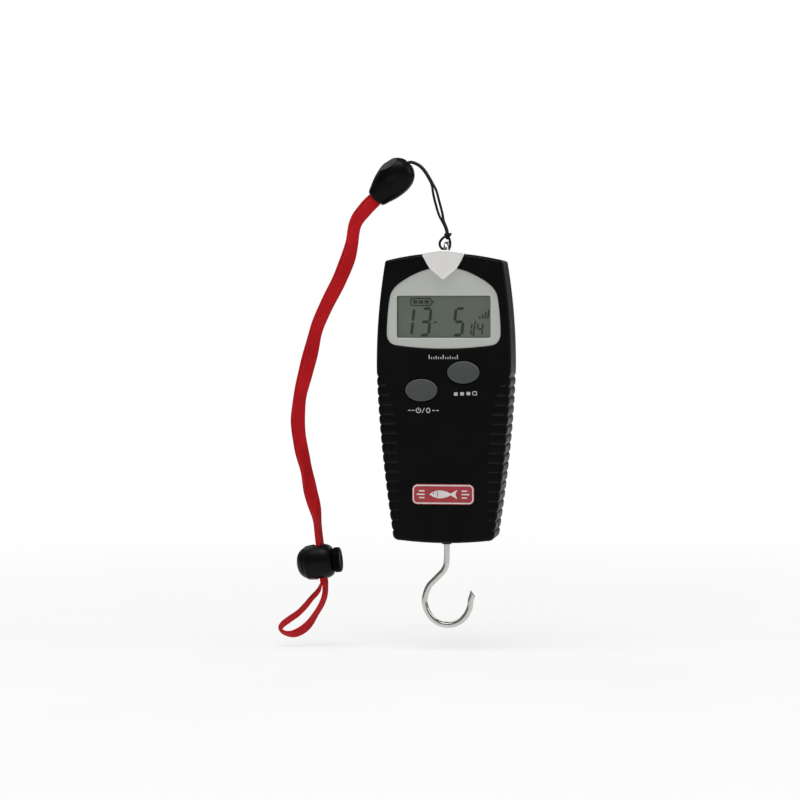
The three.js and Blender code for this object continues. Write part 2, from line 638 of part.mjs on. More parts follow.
// The drop-shaped body about its long axis, shrunk by `skin` for the hollow.
function dropBody(skin) {
  const shorter = 1 - skin / CONNECTOR.half;
  const profile = DROP.map(([radius, height]) => [Math.max(0, radius - skin), height * shorter]);
  return turned(profile, 0, 0, 20).scale(1, CONNECTOR.flat, 1);
}

function connectorHalf(side) {
  const region = side < 0 ? block(-12, 12, -12, -0.15, -15, 15) : block(-12, 12, 0.15, 12, -15, 15);
  const mouth = turned([[0, 7], [1.8, 7], [2, 13], [0, 13]], 0, 0, 16);
  const slot = block(-3.7, 3.7, -1.8, 1.8, -14, -7);
  return keep(cut(dropBody(0), dropBody(1.6), mouth, slot), region);
}

addTo(connector, 'connector_front_half', connectorHalf(-1), LOOK.shell());
addTo(connector, 'connector_rear_half', connectorHalf(1), LOOK.shell());
addTo(connector, 'cord_crimp', rodZ(2.4, -2.5, 3, 0, 0, 16), LOOK.zinc());

// ---------------------------------------------------------------- strap

const lockFrame = new THREE.Matrix4()
  .makeRotationY(LOCK.tilt)
  .setPosition(LOCK.at);
const inLock = (x, z) => new THREE.Vector3(x, 0, z).applyMatrix4(lockFrame);
const slimTop = inLock(LOCK.strapX, 22.5);
const slimFoot = inLock(LOCK.strapX, -8.5);

const strapCurve = onPlane([
  [-28.9, 92.5], [-32.3, 88.9], [-36.4, 84.2], [-40.2, 78], [-42.8, 68.5], [-47, 56.5], [-57.5, 34.7],
  [-62.7, 16.7], [-67.2, -3.2], [-67.2, -17], [-63.2, -37.4], [slimTop.x, slimTop.z],
]);
const bendAt = 0.535; // where the strap's bend lies, as a share of its length
const halfGap = STRAP_GAP / 2 / strapCurve.getLength();

add('strap_upper',
  band(new PartOfCurve(strapCurve, 0, bendAt - halfGap), STRAP.width, STRAP.thick, 14), LOOK.strap());

function strapLower() {
  const wide = band(new PartOfCurve(strapCurve, bendAt + halfGap, 1), STRAP.width, STRAP.thick, 12);
  const slim = block(LOCK.strapX - STRAP.slim / 2, LOCK.strapX + STRAP.slim / 2,
    -STRAP.slimThick / 2, STRAP.slimThick / 2, -8.5, 23.5).applyMatrix4(lockFrame);
  const loop = band(onPlane([
    [slimFoot.x - 0.9, slimFoot.z + 1], [-58, -87.5], [-61.8, -93], [-68.8, -99.8], [-74.4, -104.4],
    [-72, -107], [-66.7, -106.4], [-61.5, -99.2], [-57.2, -92], [-55.7, -86],
    [slimFoot.x + 0.9, slimFoot.z + 1],
  ]), LOOP_STRIP.thick, LOOP_STRIP.width, 26);
  return join(wide, slim, loop);
}
add('strap_lower', strapLower(), LOOK.strap());

// ---------------------------------------------------------------- cord lock

const lock = new THREE.Group();
lock.position.copy(LOCK.at);
lock.rotation.y = LOCK.tilt;
model.add(lock);

// Turns a profile of [radius, distance along +X] pairs about the X axis.
const barrel = (profile, sides) => turned(profile, 0, 0, sides).rotateY(Math.PI / 2);

function lockBody() {
  const { left, right, radius, bore, boreEnd } = LOCK;
  const outside = [
    [0, left + 0.3], [3.5, left], [6, left + 0.9], [7.4, left + 2.6], [radius, left + 5],
    [radius, right - 2], [7.2, right - 0.6], [6.6, right], [bore, right], [bore, boreEnd], [0, boreEnd],
  ];
  const strapHole = block(LOCK.strapX - LOCK_HOLE.x, LOCK.strapX + LOCK_HOLE.x,
    -LOCK_HOLE.y, LOCK_HOLE.y, -LOCK_HOLE.z, LOCK_HOLE.z);
  return cut(barrel(outside, 20), strapHole);
}

function lockPlunger() {
  const { radius, neck, inner, tip, travel } = PLUNGER;
  const profile = [
    [0, inner], [radius, inner], [radius, LOCK.right + 0.1], [neck, LOCK.right + 0.3],
    [neck, LOCK.right + 0.8], [radius, LOCK.right + 1], [radius, tip - 0.8], [4.6, tip], [0, tip],
  ];
  const side = LOCK_HOLE.x - 0.1;
  const slot = block(LOCK.strapX - side, LOCK.strapX + side + travel,
    -LOCK_HOLE.y, LOCK_HOLE.y, -LOCK_HOLE.z, LOCK_HOLE.z);
  return cut(barrel(profile, 18), slot);
}

addTo(lock, 'cord_lock_body', lockBody(), LOOK.shell());
addTo(lock, 'cord_lock_plunger', lockPlunger(), LOOK.shell());
const spring = tube(new Coil(3.6, 3.6, 3.9, 2.5), 0.45, 20, 6);
addTo(lock, 'cord_lock_spring', spring.rotateY(Math.PI / 2).translate(-5.7, 0, 0), LOOK.steel());

export default model;
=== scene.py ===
"""Digital fish scale: fine surfaces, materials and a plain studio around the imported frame.

Lengths are in millimetres and are scaled to metres when a mesh is made. +Z is up along the load line,
the display faces -Y, and +X is to the right seen from the display side.
"""

import json
import math

import bmesh
import bpy
import numpy as np
from mathutils import Matrix, Vector


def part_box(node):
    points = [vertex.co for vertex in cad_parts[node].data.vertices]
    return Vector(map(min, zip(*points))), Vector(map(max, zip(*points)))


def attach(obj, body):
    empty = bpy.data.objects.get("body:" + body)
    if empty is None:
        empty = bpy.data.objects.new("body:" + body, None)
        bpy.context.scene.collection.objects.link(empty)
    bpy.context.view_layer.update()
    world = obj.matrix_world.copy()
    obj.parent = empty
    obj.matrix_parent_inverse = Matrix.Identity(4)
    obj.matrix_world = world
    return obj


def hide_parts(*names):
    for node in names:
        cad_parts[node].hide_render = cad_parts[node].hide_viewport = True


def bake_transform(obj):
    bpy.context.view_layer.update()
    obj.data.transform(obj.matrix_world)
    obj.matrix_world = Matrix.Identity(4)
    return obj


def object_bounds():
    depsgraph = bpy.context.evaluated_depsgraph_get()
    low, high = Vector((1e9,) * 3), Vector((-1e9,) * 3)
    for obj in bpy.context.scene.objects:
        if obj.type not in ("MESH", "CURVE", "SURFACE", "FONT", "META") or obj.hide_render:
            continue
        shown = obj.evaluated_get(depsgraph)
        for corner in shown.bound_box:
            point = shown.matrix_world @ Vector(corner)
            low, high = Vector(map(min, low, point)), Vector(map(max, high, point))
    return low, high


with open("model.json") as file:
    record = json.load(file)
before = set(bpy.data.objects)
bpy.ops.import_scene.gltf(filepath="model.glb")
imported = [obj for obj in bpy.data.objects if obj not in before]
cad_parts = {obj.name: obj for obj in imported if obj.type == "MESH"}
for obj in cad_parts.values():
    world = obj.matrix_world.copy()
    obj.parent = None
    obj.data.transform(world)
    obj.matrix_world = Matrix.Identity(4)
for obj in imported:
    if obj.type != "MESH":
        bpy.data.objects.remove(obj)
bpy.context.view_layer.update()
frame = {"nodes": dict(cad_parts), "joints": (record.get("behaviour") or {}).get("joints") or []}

MM = 0.001
SEED = 7

# ------------------------------------------------------------------ places read from the frame


def box_mm(node):
    """Low and high corners of a node."""
    low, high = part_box(node)
    return np.array(low) / MM, np.array(high) / MM


def centre_mm(node):
    """Middle of a node in X and Z."""
    low, high = box_mm(node)
    return float(low[0] + high[0]) / 2, float(low[2] + high[2]) / 2


def joint_mm(name):
    joint = next(j for j in frame["joints"] if j["name"] == name)
    return np.array(joint["pos_m"]) / MM


CASE_LOW, CASE_HIGH = box_mm("front_case")
FRONT, SPLIT, BACK = CASE_LOW[1], CASE_HIGH[1], box_mm("rear_case")[1][1]
HALF_WIDTH, TOP_Z, BOTTOM_Z = CASE_HIGH[0], CASE_HIGH[2], CASE_LOW[2]
AXIS_Y = SPLIT  # the load line lies in the parting plane
LOAD_LINE = Matrix.Translation((0, AXIS_Y, 0))
PIVOT, MOUTH = joint_mm("lanyard_swing"), joint_mm("connector_tilt")
BEND, HINGE = joint_mm("strap_bend"), joint_mm("door_swing")

# ------------------------------------------------------------------ shape of the housing

WIDEST_Z = 15.0
SHOULDER_Z = TOP_Z - 3.4
TOP_TAPER = 3.9
FOOT_Z = -60.0
FOOT_TAPER = 7.2
FOOT_EDGE_Z = BOTTOM_Z + 1.1
FOOT_CORNER = 3.6
FRONT_ROUND = 1.9
BACK_ROUND = 2.4
SEAM = 0.3
WALL = 2.2
FRONT_WALL = 2.6

RIB_COUNT = 17
RIB_TOP_Z = 9.45
RIB_PITCH = 4.26
RIB_DEPTH = 0.6

# ------------------------------------------------------------------ mesh helpers


def make_object(name, verts, faces):
    mesh = bpy.data.meshes.new(name)
    mesh.from_pydata([tuple(float(c) * MM for c in v) for v in verts], [], [tuple(f) for f in faces])
    mesh.validate()
    obj = bpy.data.objects.new(name, mesh)
    bpy.context.scene.collection.objects.link(obj)
    return obj


def face_outward(obj):
    work = bmesh.new()
    work.from_mesh(obj.data)
    bmesh.ops.recalc_face_normals(work, faces=work.faces)
    work.to_mesh(obj.data)
    work.free()


def from_rings(name, rings, cap=True):
    """A solid through closed rings of equal length; a ring of one point closes to a pole."""
    verts, starts, faces = [], [], []
    for ring in rings:
        starts.append(len(verts))
        verts.extend(ring)
    for i in range(len(rings) - 1):
        a, b = rings[i], rings[i + 1]
        n = max(len(a), len(b))
        for j in range(n):
            k = (j + 1) % n
            if len(a) == 1:
                faces.append((starts[i], starts[i + 1] + j, starts[i + 1] + k))
            elif len(b) == 1:
                faces.append((starts[i] + j, starts[i + 1], starts[i] + k))
            else:
                faces.append((starts[i] + j, starts[i + 1] + j, starts[i + 1] + k, starts[i] + k))
    if cap:
        for i in (0, len(rings) - 1):
            if len(rings[i]) > 2:
                faces.append([starts[i] + j for j in range(len(rings[i]))])
    obj = make_object(name, verts, faces)
    face_outward(obj)
    return obj


def remove(obj):
    mesh = obj.data
    bpy.data.objects.remove(obj)
    bpy.data.meshes.remove(mesh)


def apply_modifiers(obj):
    bpy.context.view_layer.update()
    graph = bpy.context.evaluated_depsgraph_get()
    mesh = bpy.data.meshes.new_from_object(obj.evaluated_get(graph))
    old = obj.data
    obj.modifiers.clear()
    obj.data = mesh
    mesh.name = obj.name
    bpy.data.meshes.remove(old)


FLAT_ANGLE = math.radians(0.2)  # faces closer to one plane than this become one face


def combine(obj, tools, operation):
    """Joins or cuts obj with each tool, deletes the tools and clears the cuts' needless edges."""
    for tool in tools:
        mod = obj.modifiers.new("combine", "BOOLEAN")
        mod.operation = operation
        mod.solver = "MANIFOLD"
        mod.object = tool
    apply_modifiers(obj)
    work = bmesh.new()
    work.from_mesh(obj.data)
    bmesh.ops.dissolve_limit(work, angle_limit=FLAT_ANGLE, verts=work.verts, edges=work.edges)
    work.to_mesh(obj.data)
    work.free()
    for tool in tools:
        remove(tool)


def cut(obj, *tools):
    combine(obj, tools, "DIFFERENCE")


def join(obj, *tools):
    combine(obj, tools, "UNION")


def smooth(obj, angle=32, weighted=True):
    mesh = obj.data
    mesh.polygons.foreach_set("use_smooth", [True] * len(mesh.polygons))
    mesh.set_sharp_from_angle(angle=math.radians(angle))
    if weighted:
        mod = obj.modifiers.new("normals", "WEIGHTED_NORMAL")
        mod.keep_sharp = True
        mod.weight = 100
    return obj


def unit(rows):
    return rows / np.maximum(np.linalg.norm(rows, axis=1), 1e-9)[:, None]


def outward(steps):
    """Unit vectors to the right of each step of an outline."""
    return unit(np.stack([steps[:, 1], -steps[:, 0]], 1))


def offset_outline(points, distance):
    """Moves a closed outline outward by distance along its corner bisectors."""
    p = np.asarray(points, float)
    n0, n1 = outward(p - np.roll(p, 1, 0)), outward(np.roll(p, -1, 0) - p)
    middle = unit(n0 + n1)
    stretch = 1 / np.clip(np.sum(middle * n0, axis=1), 0.5, 1)
    area = np.sum(p[:, 0] * np.roll(p[:, 1], -1) - p[:, 1] * np.roll(p[:, 0], -1))
    return p + middle * (distance * stretch * np.sign(area))[:, None]


def at_depth(outline, y):
    outline = np.asarray(outline, float)
    return np.stack([outline[:, 0], np.full(len(outline), y), outline[:, 1]], 1)


def quarter(steps):
    """Sine and cosine at even steps through a quarter turn."""
    turns = [math.pi / 2 * i / steps for i in range(steps + 1)]
    return [(math.sin(a), math.cos(a)) for a in turns]


def slab(name, outline, back, front, front_edge=0.0, back_edge=0.0, steps=4, flare=0.0):
    """An outline in X and Z given depth; edges are rounded, or flared outward to cut a chamfer."""
    toward = math.copysign(1, front - back)
    rings = [at_depth(outline, back)]
    if back_edge:
        rings = [at_depth(offset_outline(outline, back_edge * (s - 1)), back - toward * back_edge * (c - 1))
                 for s, c in quarter(steps)]
    if front_edge:
        for s, c in quarter(steps):
            edge = offset_outline(outline, front_edge * (c - 1))
            rings.append(at_depth(edge, front + toward * front_edge * (s - 1)))
    elif flare:
        wide, past = offset_outline(outline, flare), front + toward * 2
        rings += [at_depth(outline, front - toward * flare), at_depth(wide, front), at_depth(wide, past)]
    else:
        rings.append(at_depth(outline, front))
    return from_rings(name, rings)


def bezier(p0, p1, p2, count):
    t = np.linspace(0, 1, count)[:, None]
    p0, p1, p2 = (np.asarray(p, float) for p in (p0, p1, p2))
    return (1 - t) ** 2 * p0 + 2 * t * (1 - t) * p1 + t ** 2 * p2


def chain(*curves):
    """Joins curves end to end and drops doubled points."""
    points = [np.asarray(curves[0], float)]
    for curve in curves[1:]:
        points.append(np.asarray(curve, float)[1:])
    joined = np.concatenate(points)
    if np.linalg.norm(joined[0] - joined[-1]) < 1e-6:
        joined = joined[:-1]
    return joined


def rounded_rectangle(x0, x1, z0, z1, radius, steps=6):
    corners = [(x1 - radius, z0 + radius, -90), (x1 - radius, z1 - radius, 0),
               (x0 + radius, z1 - radius, 90), (x0 + radius, z0 + radius, 180)]
    points = []
    for cx, cz, start in corners:
        for i in range(steps + 1):
            a = math.radians(start + 90 * i / steps)
            points.append((cx + radius * math.cos(a), cz + radius * math.sin(a)))
    return np.array(points)


def oval(x, z, half_x, half_z, count=64):
    a = np.linspace(0, 2 * math.pi, count, endpoint=False)
    return np.stack([x + half_x * np.cos(a), z + half_z * np.sin(a)], 1)


def plate(name, x0, x1, z0, z1, radius, back, front, corner=6, **edges):
    """A slab with rounded corners, each of that many steps."""
    return slab(name, rounded_rectangle(x0, x1, z0, z1, radius, corner), back, front, **edges)


def block(name, x0, x1, y0, y1, z0, z1, edge=0.0):
    return plate(name, x0, x1, z0, z1, max(edge, 0.02), max(y0, y1), min(y0, y1), 3 if edge else 1,
                 front_edge=edge, back_edge=edge, steps=2)


def rod(name, start, end, radius, sides=32, edge=0.0):
    start, end = np.asarray(start, float), np.asarray(end, float)
    axis = (end - start) / np.linalg.norm(end - start)
    side = np.cross(axis, [0, 0, 1.0] if abs(axis[2]) < 0.9 else [1.0, 0, 0])
    side /= np.linalg.norm(side)
    up = np.cross(axis, side)
    angles = np.linspace(0, 2 * math.pi, sides, endpoint=False)
    rounds = [(start, radius), (end, radius)]
    if edge:
        rounds = [(start, radius - edge), (start + axis * edge, radius),
                  (end - axis * edge, radius), (end, radius - edge)]
    rings = [[c + r * (math.cos(a) * side + math.sin(a) * up) for a in angles] for c, r in rounds]
    return from_rings(name, rings)


def axis_rod(name, low, high, radius, sides):
    """A rod on the load line."""
    return rod(name, (0, AXIS_Y, low), (0, AXIS_Y, high), radius, sides)


def turned(name, profile, place, sides=64):
    """Turns [radius, height] pairs about Z, then moves the points by place, a 4x4 matrix."""
    angles = np.linspace(0, 2 * math.pi, sides, endpoint=False)
    rings = []
    for r, h in profile:
        spots = [(0, 0, h)] if r < 1e-6 else [(r * math.cos(a), r * math.sin(a), h) for a in angles]
        rings.append([place @ Vector(spot) for spot in spots])
    return from_rings(name, rings)


def smooth_profile(points, count=6):
    """A Catmull-Rom curve through the points, which keeps both ends."""
    p = np.asarray(points, float)
    padded = np.concatenate([[2 * p[0] - p[1]], p, [2 * p[-1] - p[-2]]])
    out = []
    for i in range(len(p) - 1):
        a, b, c, d = padded[i:i + 4]
        for t in np.arange(count) / count:
            out.append(0.5 * (2 * b + (c - a) * t + (2 * a - 5 * b + 4 * c - d) * t * t
                              + (3 * b - a - 3 * c + d) * t ** 3))
    out.append(p[-1])
    return np.array(out)


def lengths(path):
    """Distance along a path to each of its points."""
    return np.concatenate([[0], np.cumsum(np.linalg.norm(np.diff(path, axis=0), axis=1))])


def even_path(points, spacing):
    """A smooth curve through the points, cut into even steps."""
    fine = smooth_profile(points, 24)
    length = lengths(fine)
    count = max(4, int(round(length[-1] / spacing)))
    at = np.linspace(0, length[-1], count + 1)
    return np.stack([np.interp(at, length, fine[:, k]) for k in range(fine.shape[1])], 1), at


def in_plane(points, spacing):
    """An even path through X and Z points in the plane of the load line."""
    return even_path(at_depth(points, AXIS_Y), spacing)


def tangents(path):
    return unit(np.gradient(path, axis=0))


def carried_frames(path):
    """Side and up vectors carried along the path without twist."""
    t = tangents(path)
    side = np.cross(t[0], [0, 1.0, 0])
    if np.linalg.norm(side) < 1e-3:
        side = np.cross(t[0], [1.0, 0, 0])
    sides = []
    for direction in t:
        side = side - direction * np.dot(side, direction)
        side /= np.linalg.norm(side)
        sides.append(side)
    sides = np.array(sides)
    return sides, np.cross(t, sides)


def sweep(name, path, sections, sides, ups):
    """Sweeps sections[i], an array of (side, up) offsets, along the path; ends are capped."""
    rings = [path[i] + sections[i][:, :1] * sides[i] + sections[i][:, 1:] * ups[i]
             for i in range(len(path))]
    return from_rings(name, rings)


def tube(name, path, radius, count=16):
    sides, ups = carried_frames(path)
    a = np.linspace(0, 2 * math.pi, count, endpoint=False)
    circle = np.stack([np.cos(a), np.sin(a)], 1) * radius
    return sweep(name, path, [circle] * len(path), sides, ups)


def finish_piece(obj, body, slot, *nodes, material=None):
    """Puts a piece on its body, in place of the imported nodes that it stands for."""
    if material is not None:
        obj.data.materials.clear()
        obj.data.materials.append(material)
    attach(obj, body)
    if nodes:
        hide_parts(*nodes)


def finish_blend(obj, bodies, start, end, slot, *nodes):
    """Bakes a piece's placement into its mesh and hides the nodes that it stands for; it does not bend the
    piece, and bodies, start and end are not used.
    """
    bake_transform(obj)
    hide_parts(*nodes)


# ------------------------------------------------------------------ node materials


class Look:
    """A node material around one Principled shader. Texture positions are the piece's own, in metres."""

    def __init__(self, name, base, rough, metal=0.0, specular=0.5):
        self.material = bpy.data.materials.new(name)
        self.material.use_nodes = True
        self.nodes = self.material.node_tree.nodes
        self.links = self.material.node_tree.links
        self.shader = self.nodes["Principled BSDF"]
        place = self.node("TexCoord")
        self.at, self.uv = place.outputs["Object"], place.outputs["UV"]
        self.set(base_color=(*base, 1), roughness=rough, metallic=metal)
        self.give(self.shader, {"Specular IOR Level": specular})

    def give(self, node, inputs):
        """Links or sets each input of a node, found by its name or number."""
        for socket, value in inputs.items():
            if isinstance(value, bpy.types.NodeSocket):
                self.links.new(value, node.inputs[socket])
            elif value is not None:
                node.inputs[socket].default_value = value

    def node(self, kind, inputs=None, **settings):
        made = self.nodes.new("ShaderNode" + kind)
        for setting, value in settings.items():
            setattr(made, setting, value)
        self.give(made, inputs or {})
        return made

    def set(self, **values):
        """Sets the shader's inputs: coat_weight is its Coat Weight."""
        self.give(self.shader, {name.replace("_", " ").title(): value for name, value in values.items()})

    def surface(self, output):
        self.give(self.nodes["Material Output"], {"Surface": output})

    def scaled(self, size_mm, stretch=(1, 1, 1)):
        scale = tuple(1 / (size_mm * MM * s) for s in stretch)
        return self.node("Mapping", {"Vector": self.at, "Scale": scale}).outputs["Vector"]

    def noise(self, size_mm, detail=3, stretch=(1, 1, 1), distortion=0.0):
        return self.node("TexNoise", {"Vector": self.scaled(size_mm, stretch), "Scale": 1.0, "Detail": detail,
                                      "Distortion": distortion}).outputs["Fac"]

    def speckle(self, size_mm):
        return self.node("TexVoronoi", {"Vector": self.scaled(size_mm), "Scale": 1.0}).outputs["Distance"]

    def math(self, operation, a, b=0.0, clamp=False):
        return self.node("Math", {0: a, 1: b}, operation=operation, use_clamp=clamp).outputs[0]

    def times(self, a, b):
        return self.math("MULTIPLY", a, b)

    def sine(self, value, rate):
        return self.math("SINE", self.times(value, rate))

    def spread(self, value, low, high, from_low=0.3, from_high=0.7):
        return self.node("MapRange", {"Value": value, "From Min": from_low, "From Max": from_high,
                                      "To Min": low, "To Max": high}).outputs["Result"]

    def vary(self, low, high, size_mm, detail):
        """A value that wanders between low and high over the surface."""
        return self.spread(self.noise(size_mm, detail), low, high)

    def mix(self, share, a, b):
        a, b = (tone if isinstance(tone, bpy.types.NodeSocket) else (*tone, 1) for tone in (a, b))
        return self.node("Mix", {"Factor": share, "A": a, "B": b}, data_type="RGBA").outputs["Result"]

    def mottle(self, a, b, size_mm, detail):
        return self.mix(self.vary(0, 1, size_mm, detail), a, b)

    def parts(self, vector):
        return self.node("SeparateXYZ", {0: vector}).outputs[:]

    def bump(self, height, depth_mm, strength=1.0, over=None):
        normal = self.node("Bump", {"Height": height, "Distance": depth_mm * MM, "Strength": strength,
                                    "Normal": over}).outputs["Normal"]
        self.set(normal=normal)
        return normal


def dimmed(colour, share):
    return tuple(c * share for c in colour)


def moulded(name, dark, light, rough, grain_mm=0.22, specular=0.5):
    """Injection-moulded plastic: spark-eroded grain and slow changes of colour and gloss."""
    look = Look(name, dark, rough, specular=specular)
    gloss = look.vary(rough - 0.06, rough + 0.08, 5, 5)
    look.set(base_color=look.mottle(dark, light, 14, 4), roughness=gloss)
    look.bump(look.math("ADD", look.noise(grain_mm, 2), look.times(look.speckle(grain_mm * 2), 0.35)), 0.012)
    return look.material


def painted(name, base, rough):
    """Silver paint over plastic: fine metallic flake under a thin satin coat."""
    look = Look(name, base, rough, 0.55)
    flake = look.spread(look.speckle(0.18), 0, 1, 0.2, 0.8)
    look.set(base_color=look.mix(flake, dimmed(base, 0.9), base), coat_weight=0.12, coat_roughness=0.25,
             roughness=look.vary(rough - 0.05, rough + 0.07, 9, 4))
    look.bump(look.noise(0.3, 2), 0.004)
    return look.material


def brushed(name, base, rough, along=(1, 1, 14)):
    """Drawn or ground metal: fine lines along one direction, with faint stains."""
    look = Look(name, base, rough, metal=1.0)
    lines = look.noise(0.12, 3, along)
    look.set(base_color=look.mix(look.vary(0, 0.6, 3.2, 5), base, dimmed(base, 0.8)),
             roughness=look.spread(lines, rough - 0.05, rough + 0.12))
    look.bump(lines, 0.006)
    return look.material


def soft_rubber(name, dark, light, rough=0.62):
    """Silicone rubber with a bloom of dust and a painted rim sheen: lighter where the surface turns away from
    the view.
    """
    look = Look(name, dark, rough, specular=0.35)
    # Painted sheen: the Facing output brightens the colour toward the silhouette; the noise gives the dust.
    painted_rim_sheen = look.node("LayerWeight", {"Blend": 0.35}).outputs["Facing"]
    dust_and_sheen = look.math("MULTIPLY", look.vary(0.3, 1, 2.5, 6), painted_rim_sheen, clamp=True)
    look.set(base_color=look.mix(dust_and_sheen, dark, light), roughness=look.vary(rough - 0.08, rough + 0.1, 0.8, 4),
             sheen_weight=0.15, sheen_roughness=0.5)
    look.bump(look.noise(0.15, 2), 0.006)
    return look.material


def ink(name, base):
    """Screen-printed ink: slightly raised, with a broken edge to its colour."""
    look = Look(name, base, 0.5, specular=0.3)
    worn = look.spread(look.noise(0.35, 5), 0, 1, 0.4, 0.65)
    look.set(base_color=look.mix(worn, dimmed(base, 0.72), base))
    look.bump(look.noise(0.12, 2), 0.005)
    return look.material


def clear_plastic(name):
    """A thin clear window: see-through, with a faint gloss and hairline scratches."""
    look = Look(name, (0.9, 0.92, 0.91), 0.06)
    scratch = look.noise(1.8, 3, (0.05, 1, 2.5), distortion=0.6)
    look.set(roughness=look.spread(scratch, 0.04, 0.16, 0.55, 0.75))
    look.bump(look.noise(6, 2), 0.01)
    through = look.node("BsdfTransparent", {"Color": (0.93, 0.95, 0.93, 1)})
    gloss = look.node("BsdfGlossy", {"Roughness": look.spread(scratch, 0.08, 0.2, 0.55, 0.75)})
    fresnel = look.node("Fresnel", {"IOR": 1.45})
    look.surface(look.node("MixShader", {0: fresnel.outputs[0], 1: through.outputs[0],
                                         2: gloss.outputs[0]}).outputs[0])
    return look.material


def display_glass(name):
    """Reflective liquid crystal: grey green polariser over a mottled silver backing."""
    look = Look(name, (0.2, 0.24, 0.2), 0.32, specular=0.35)
    across, _, up = look.parts(look.at)
    slope = look.spread(look.math("ADD", across, look.times(up, 0.6)), 0, 1, -0.02, 0.05)
    green = look.mix(slope, (0.26, 0.325, 0.27), (0.305, 0.31, 0.265))
    look.set(base_color=look.mix(look.vary(0, 0.35, 0.25, 3), green, (0.36, 0.375, 0.33)),
             roughness=look.vary(0.28, 0.4, 4, 3))
    look.bump(look.noise(0.2, 2), 0.003)
    return look.material


def segment_ink(name):
    """The dark bars of the display, a little uneven."""
    look = Look(name, (0.045, 0.055, 0.043), 0.4, specular=0.2)
    look.set(base_color=look.mottle((0.045, 0.056, 0.045), (0.08, 0.095, 0.078), 1.2, 4))
    look.bump(look.noise(0.2, 2), 0.002)
    return look.material


def webbing(name, width_mm):
    """Woven ribbon, drawn on a UV that runs in millimetres: U along the ribbon and V across it."""
    look = Look(name, (0.5, 0.012, 0.016), 0.75, specular=0.1)
    along, across, _ = look.parts(look.uv)
    pick, end = 0.42, 0.5
    columns = look.sine(across, 2 * math.pi / end)
    over = look.times(look.sine(along, 2 * math.pi / pick), columns)
    height = look.math("ADD", look.times(over, 0.5), look.times(look.math("ABSOLUTE", columns), 0.6))
    edge = look.spread(look.math("ABSOLUTE", across), 0, 1, width_mm / 2 - 0.55, width_mm / 2 - 0.25)
    fibre = look.noise(0.5, 4)
    body = look.mottle((0.46, 0.007, 0.011), (0.66, 0.014, 0.018), 16, 4)
    # Painted shade: the low points of the weave take a darker red, where shade falls between the yarns.
    weave_with_painted_shade = look.mix(look.spread(height, 0, 1, -0.4, 1.0), (0.26, 0.003, 0.006), body)
    stitch = look.spread(look.sine(along, 9.0), 0, 1, -1, 1)
    selvedge = look.mix(stitch, (0.32, 0.005, 0.008), (0.6, 0.012, 0.016))
    coloured = look.mix(edge, weave_with_painted_shade, selvedge)
    fuzz = look.mix(look.spread(fibre, 0, 0.25, 0.5, 0.8), coloured, (0.72, 0.03, 0.035))
    look.set(base_color=fuzz, roughness=look.spread(fibre, 0.6, 0.85), sheen_weight=0.08,
             sheen_roughness=0.4, sheen_tint=(1.0, 0.2, 0.2, 1))
    look.bump(fibre, 0.03, 0.6, over=look.bump(height, 0.09, 0.9))
    return look.material


def braided(name):
    """Polyester cord: strands wound round it, on a UV with U along in millimetres and V once round."""
    look = Look(name, (0.006, 0.006, 0.007), 0.6, specular=0.15)
    along, around, _ = look.parts(look.uv)
    angle = look.times(around, 2 * math.pi * 3)
    winds = [look.math("SINE", look.math(way, look.times(along, 6.0), angle)) for way in ("ADD", "SUBTRACT")]
    plait = look.math("MAXIMUM", *winds)
    # Painted shade: the colour darkens in the grooves between the strands, where shade falls.
    strands = look.mix(look.spread(plait, 0, 1, -0.2, 1), (0.002, 0.002, 0.0025), (0.009, 0.009, 0.01))
    look.set(base_color=strands, roughness=look.vary(0.5, 0.75, 0.4, 3), sheen_weight=0.05)
    look.bump(plait, 0.06, 0.9)
    return look.material


def enamel(name, base, dark):
    """Glossy printed badge under a clear dome, with a slow orange-peel."""
    look = Look(name, base, 0.28)
    look.set(base_color=look.mottle(base, dark, 3.5, 3), roughness=look.vary(0.24, 0.36, 0.8, 4),
             coat_weight=0.35, coat_roughness=0.12)
    look.bump(look.noise(2.2, 2), 0.01)
    return look.material


def board_laminate(name):
    """Green circuit board: solder mask over buried tracks, with tinned pads."""
    look = Look(name, (0.01, 0.09, 0.035), 0.35)
    across, _, up = look.parts(look.at)
    rate = 2474  # radians a metre: pads 2.54 mm apart
    tracks = look.noise(1.8, 0, (1, 1, 5))
    under = look.mix(look.spread(tracks, 0, 1, 0.52, 0.54), (0.008, 0.075, 0.03), (0.02, 0.15, 0.06))
    grid = look.times(look.sine(across, rate), look.sine(up, rate))
    pads = look.times(look.spread(grid, 0, 1, 0.72, 0.76), look.spread(look.noise(7, 1), 0, 1, 0.5, 0.52))
    look.set(base_color=look.mix(pads, under, (0.6, 0.58, 0.5)), metallic=pads)
    look.bump(look.math("ADD", tracks, pads), 0.03)
    return look.material


def coated_foil(name, base, shade):
    """Copper-toned foil crossed by fine etched lines."""
    look = Look(name, base, 0.35, 0.2)
    _, across, along = look.parts(look.at)
    lines = look.sine(look.math("ADD", across, along), 9000)
    look.set(base_color=look.mix(look.spread(lines, 0, 1, 0.2, 0.5), base, shade))
    look.bump(look.noise(0.4, 3), 0.01)
    return look.material


def cell_wrap(name):
    """Printed battery sleeve with plain bands: no lettering."""
    look = Look(name, (0.02, 0.06, 0.14), 0.28, 0.1)
    up = look.parts(look.at)[2]
    band = look.spread(look.sine(up, 130), 0, 1, 0.55, 0.57)
    blue = look.mottle((0.015, 0.05, 0.13), (0.03, 0.08, 0.18), 2, 4)
    look.set(base_color=look.mix(band, blue, (0.55, 0.56, 0.58)), coat_weight=0.4)
    look.bump(look.noise(0.6, 3), 0.008)
    return look.material


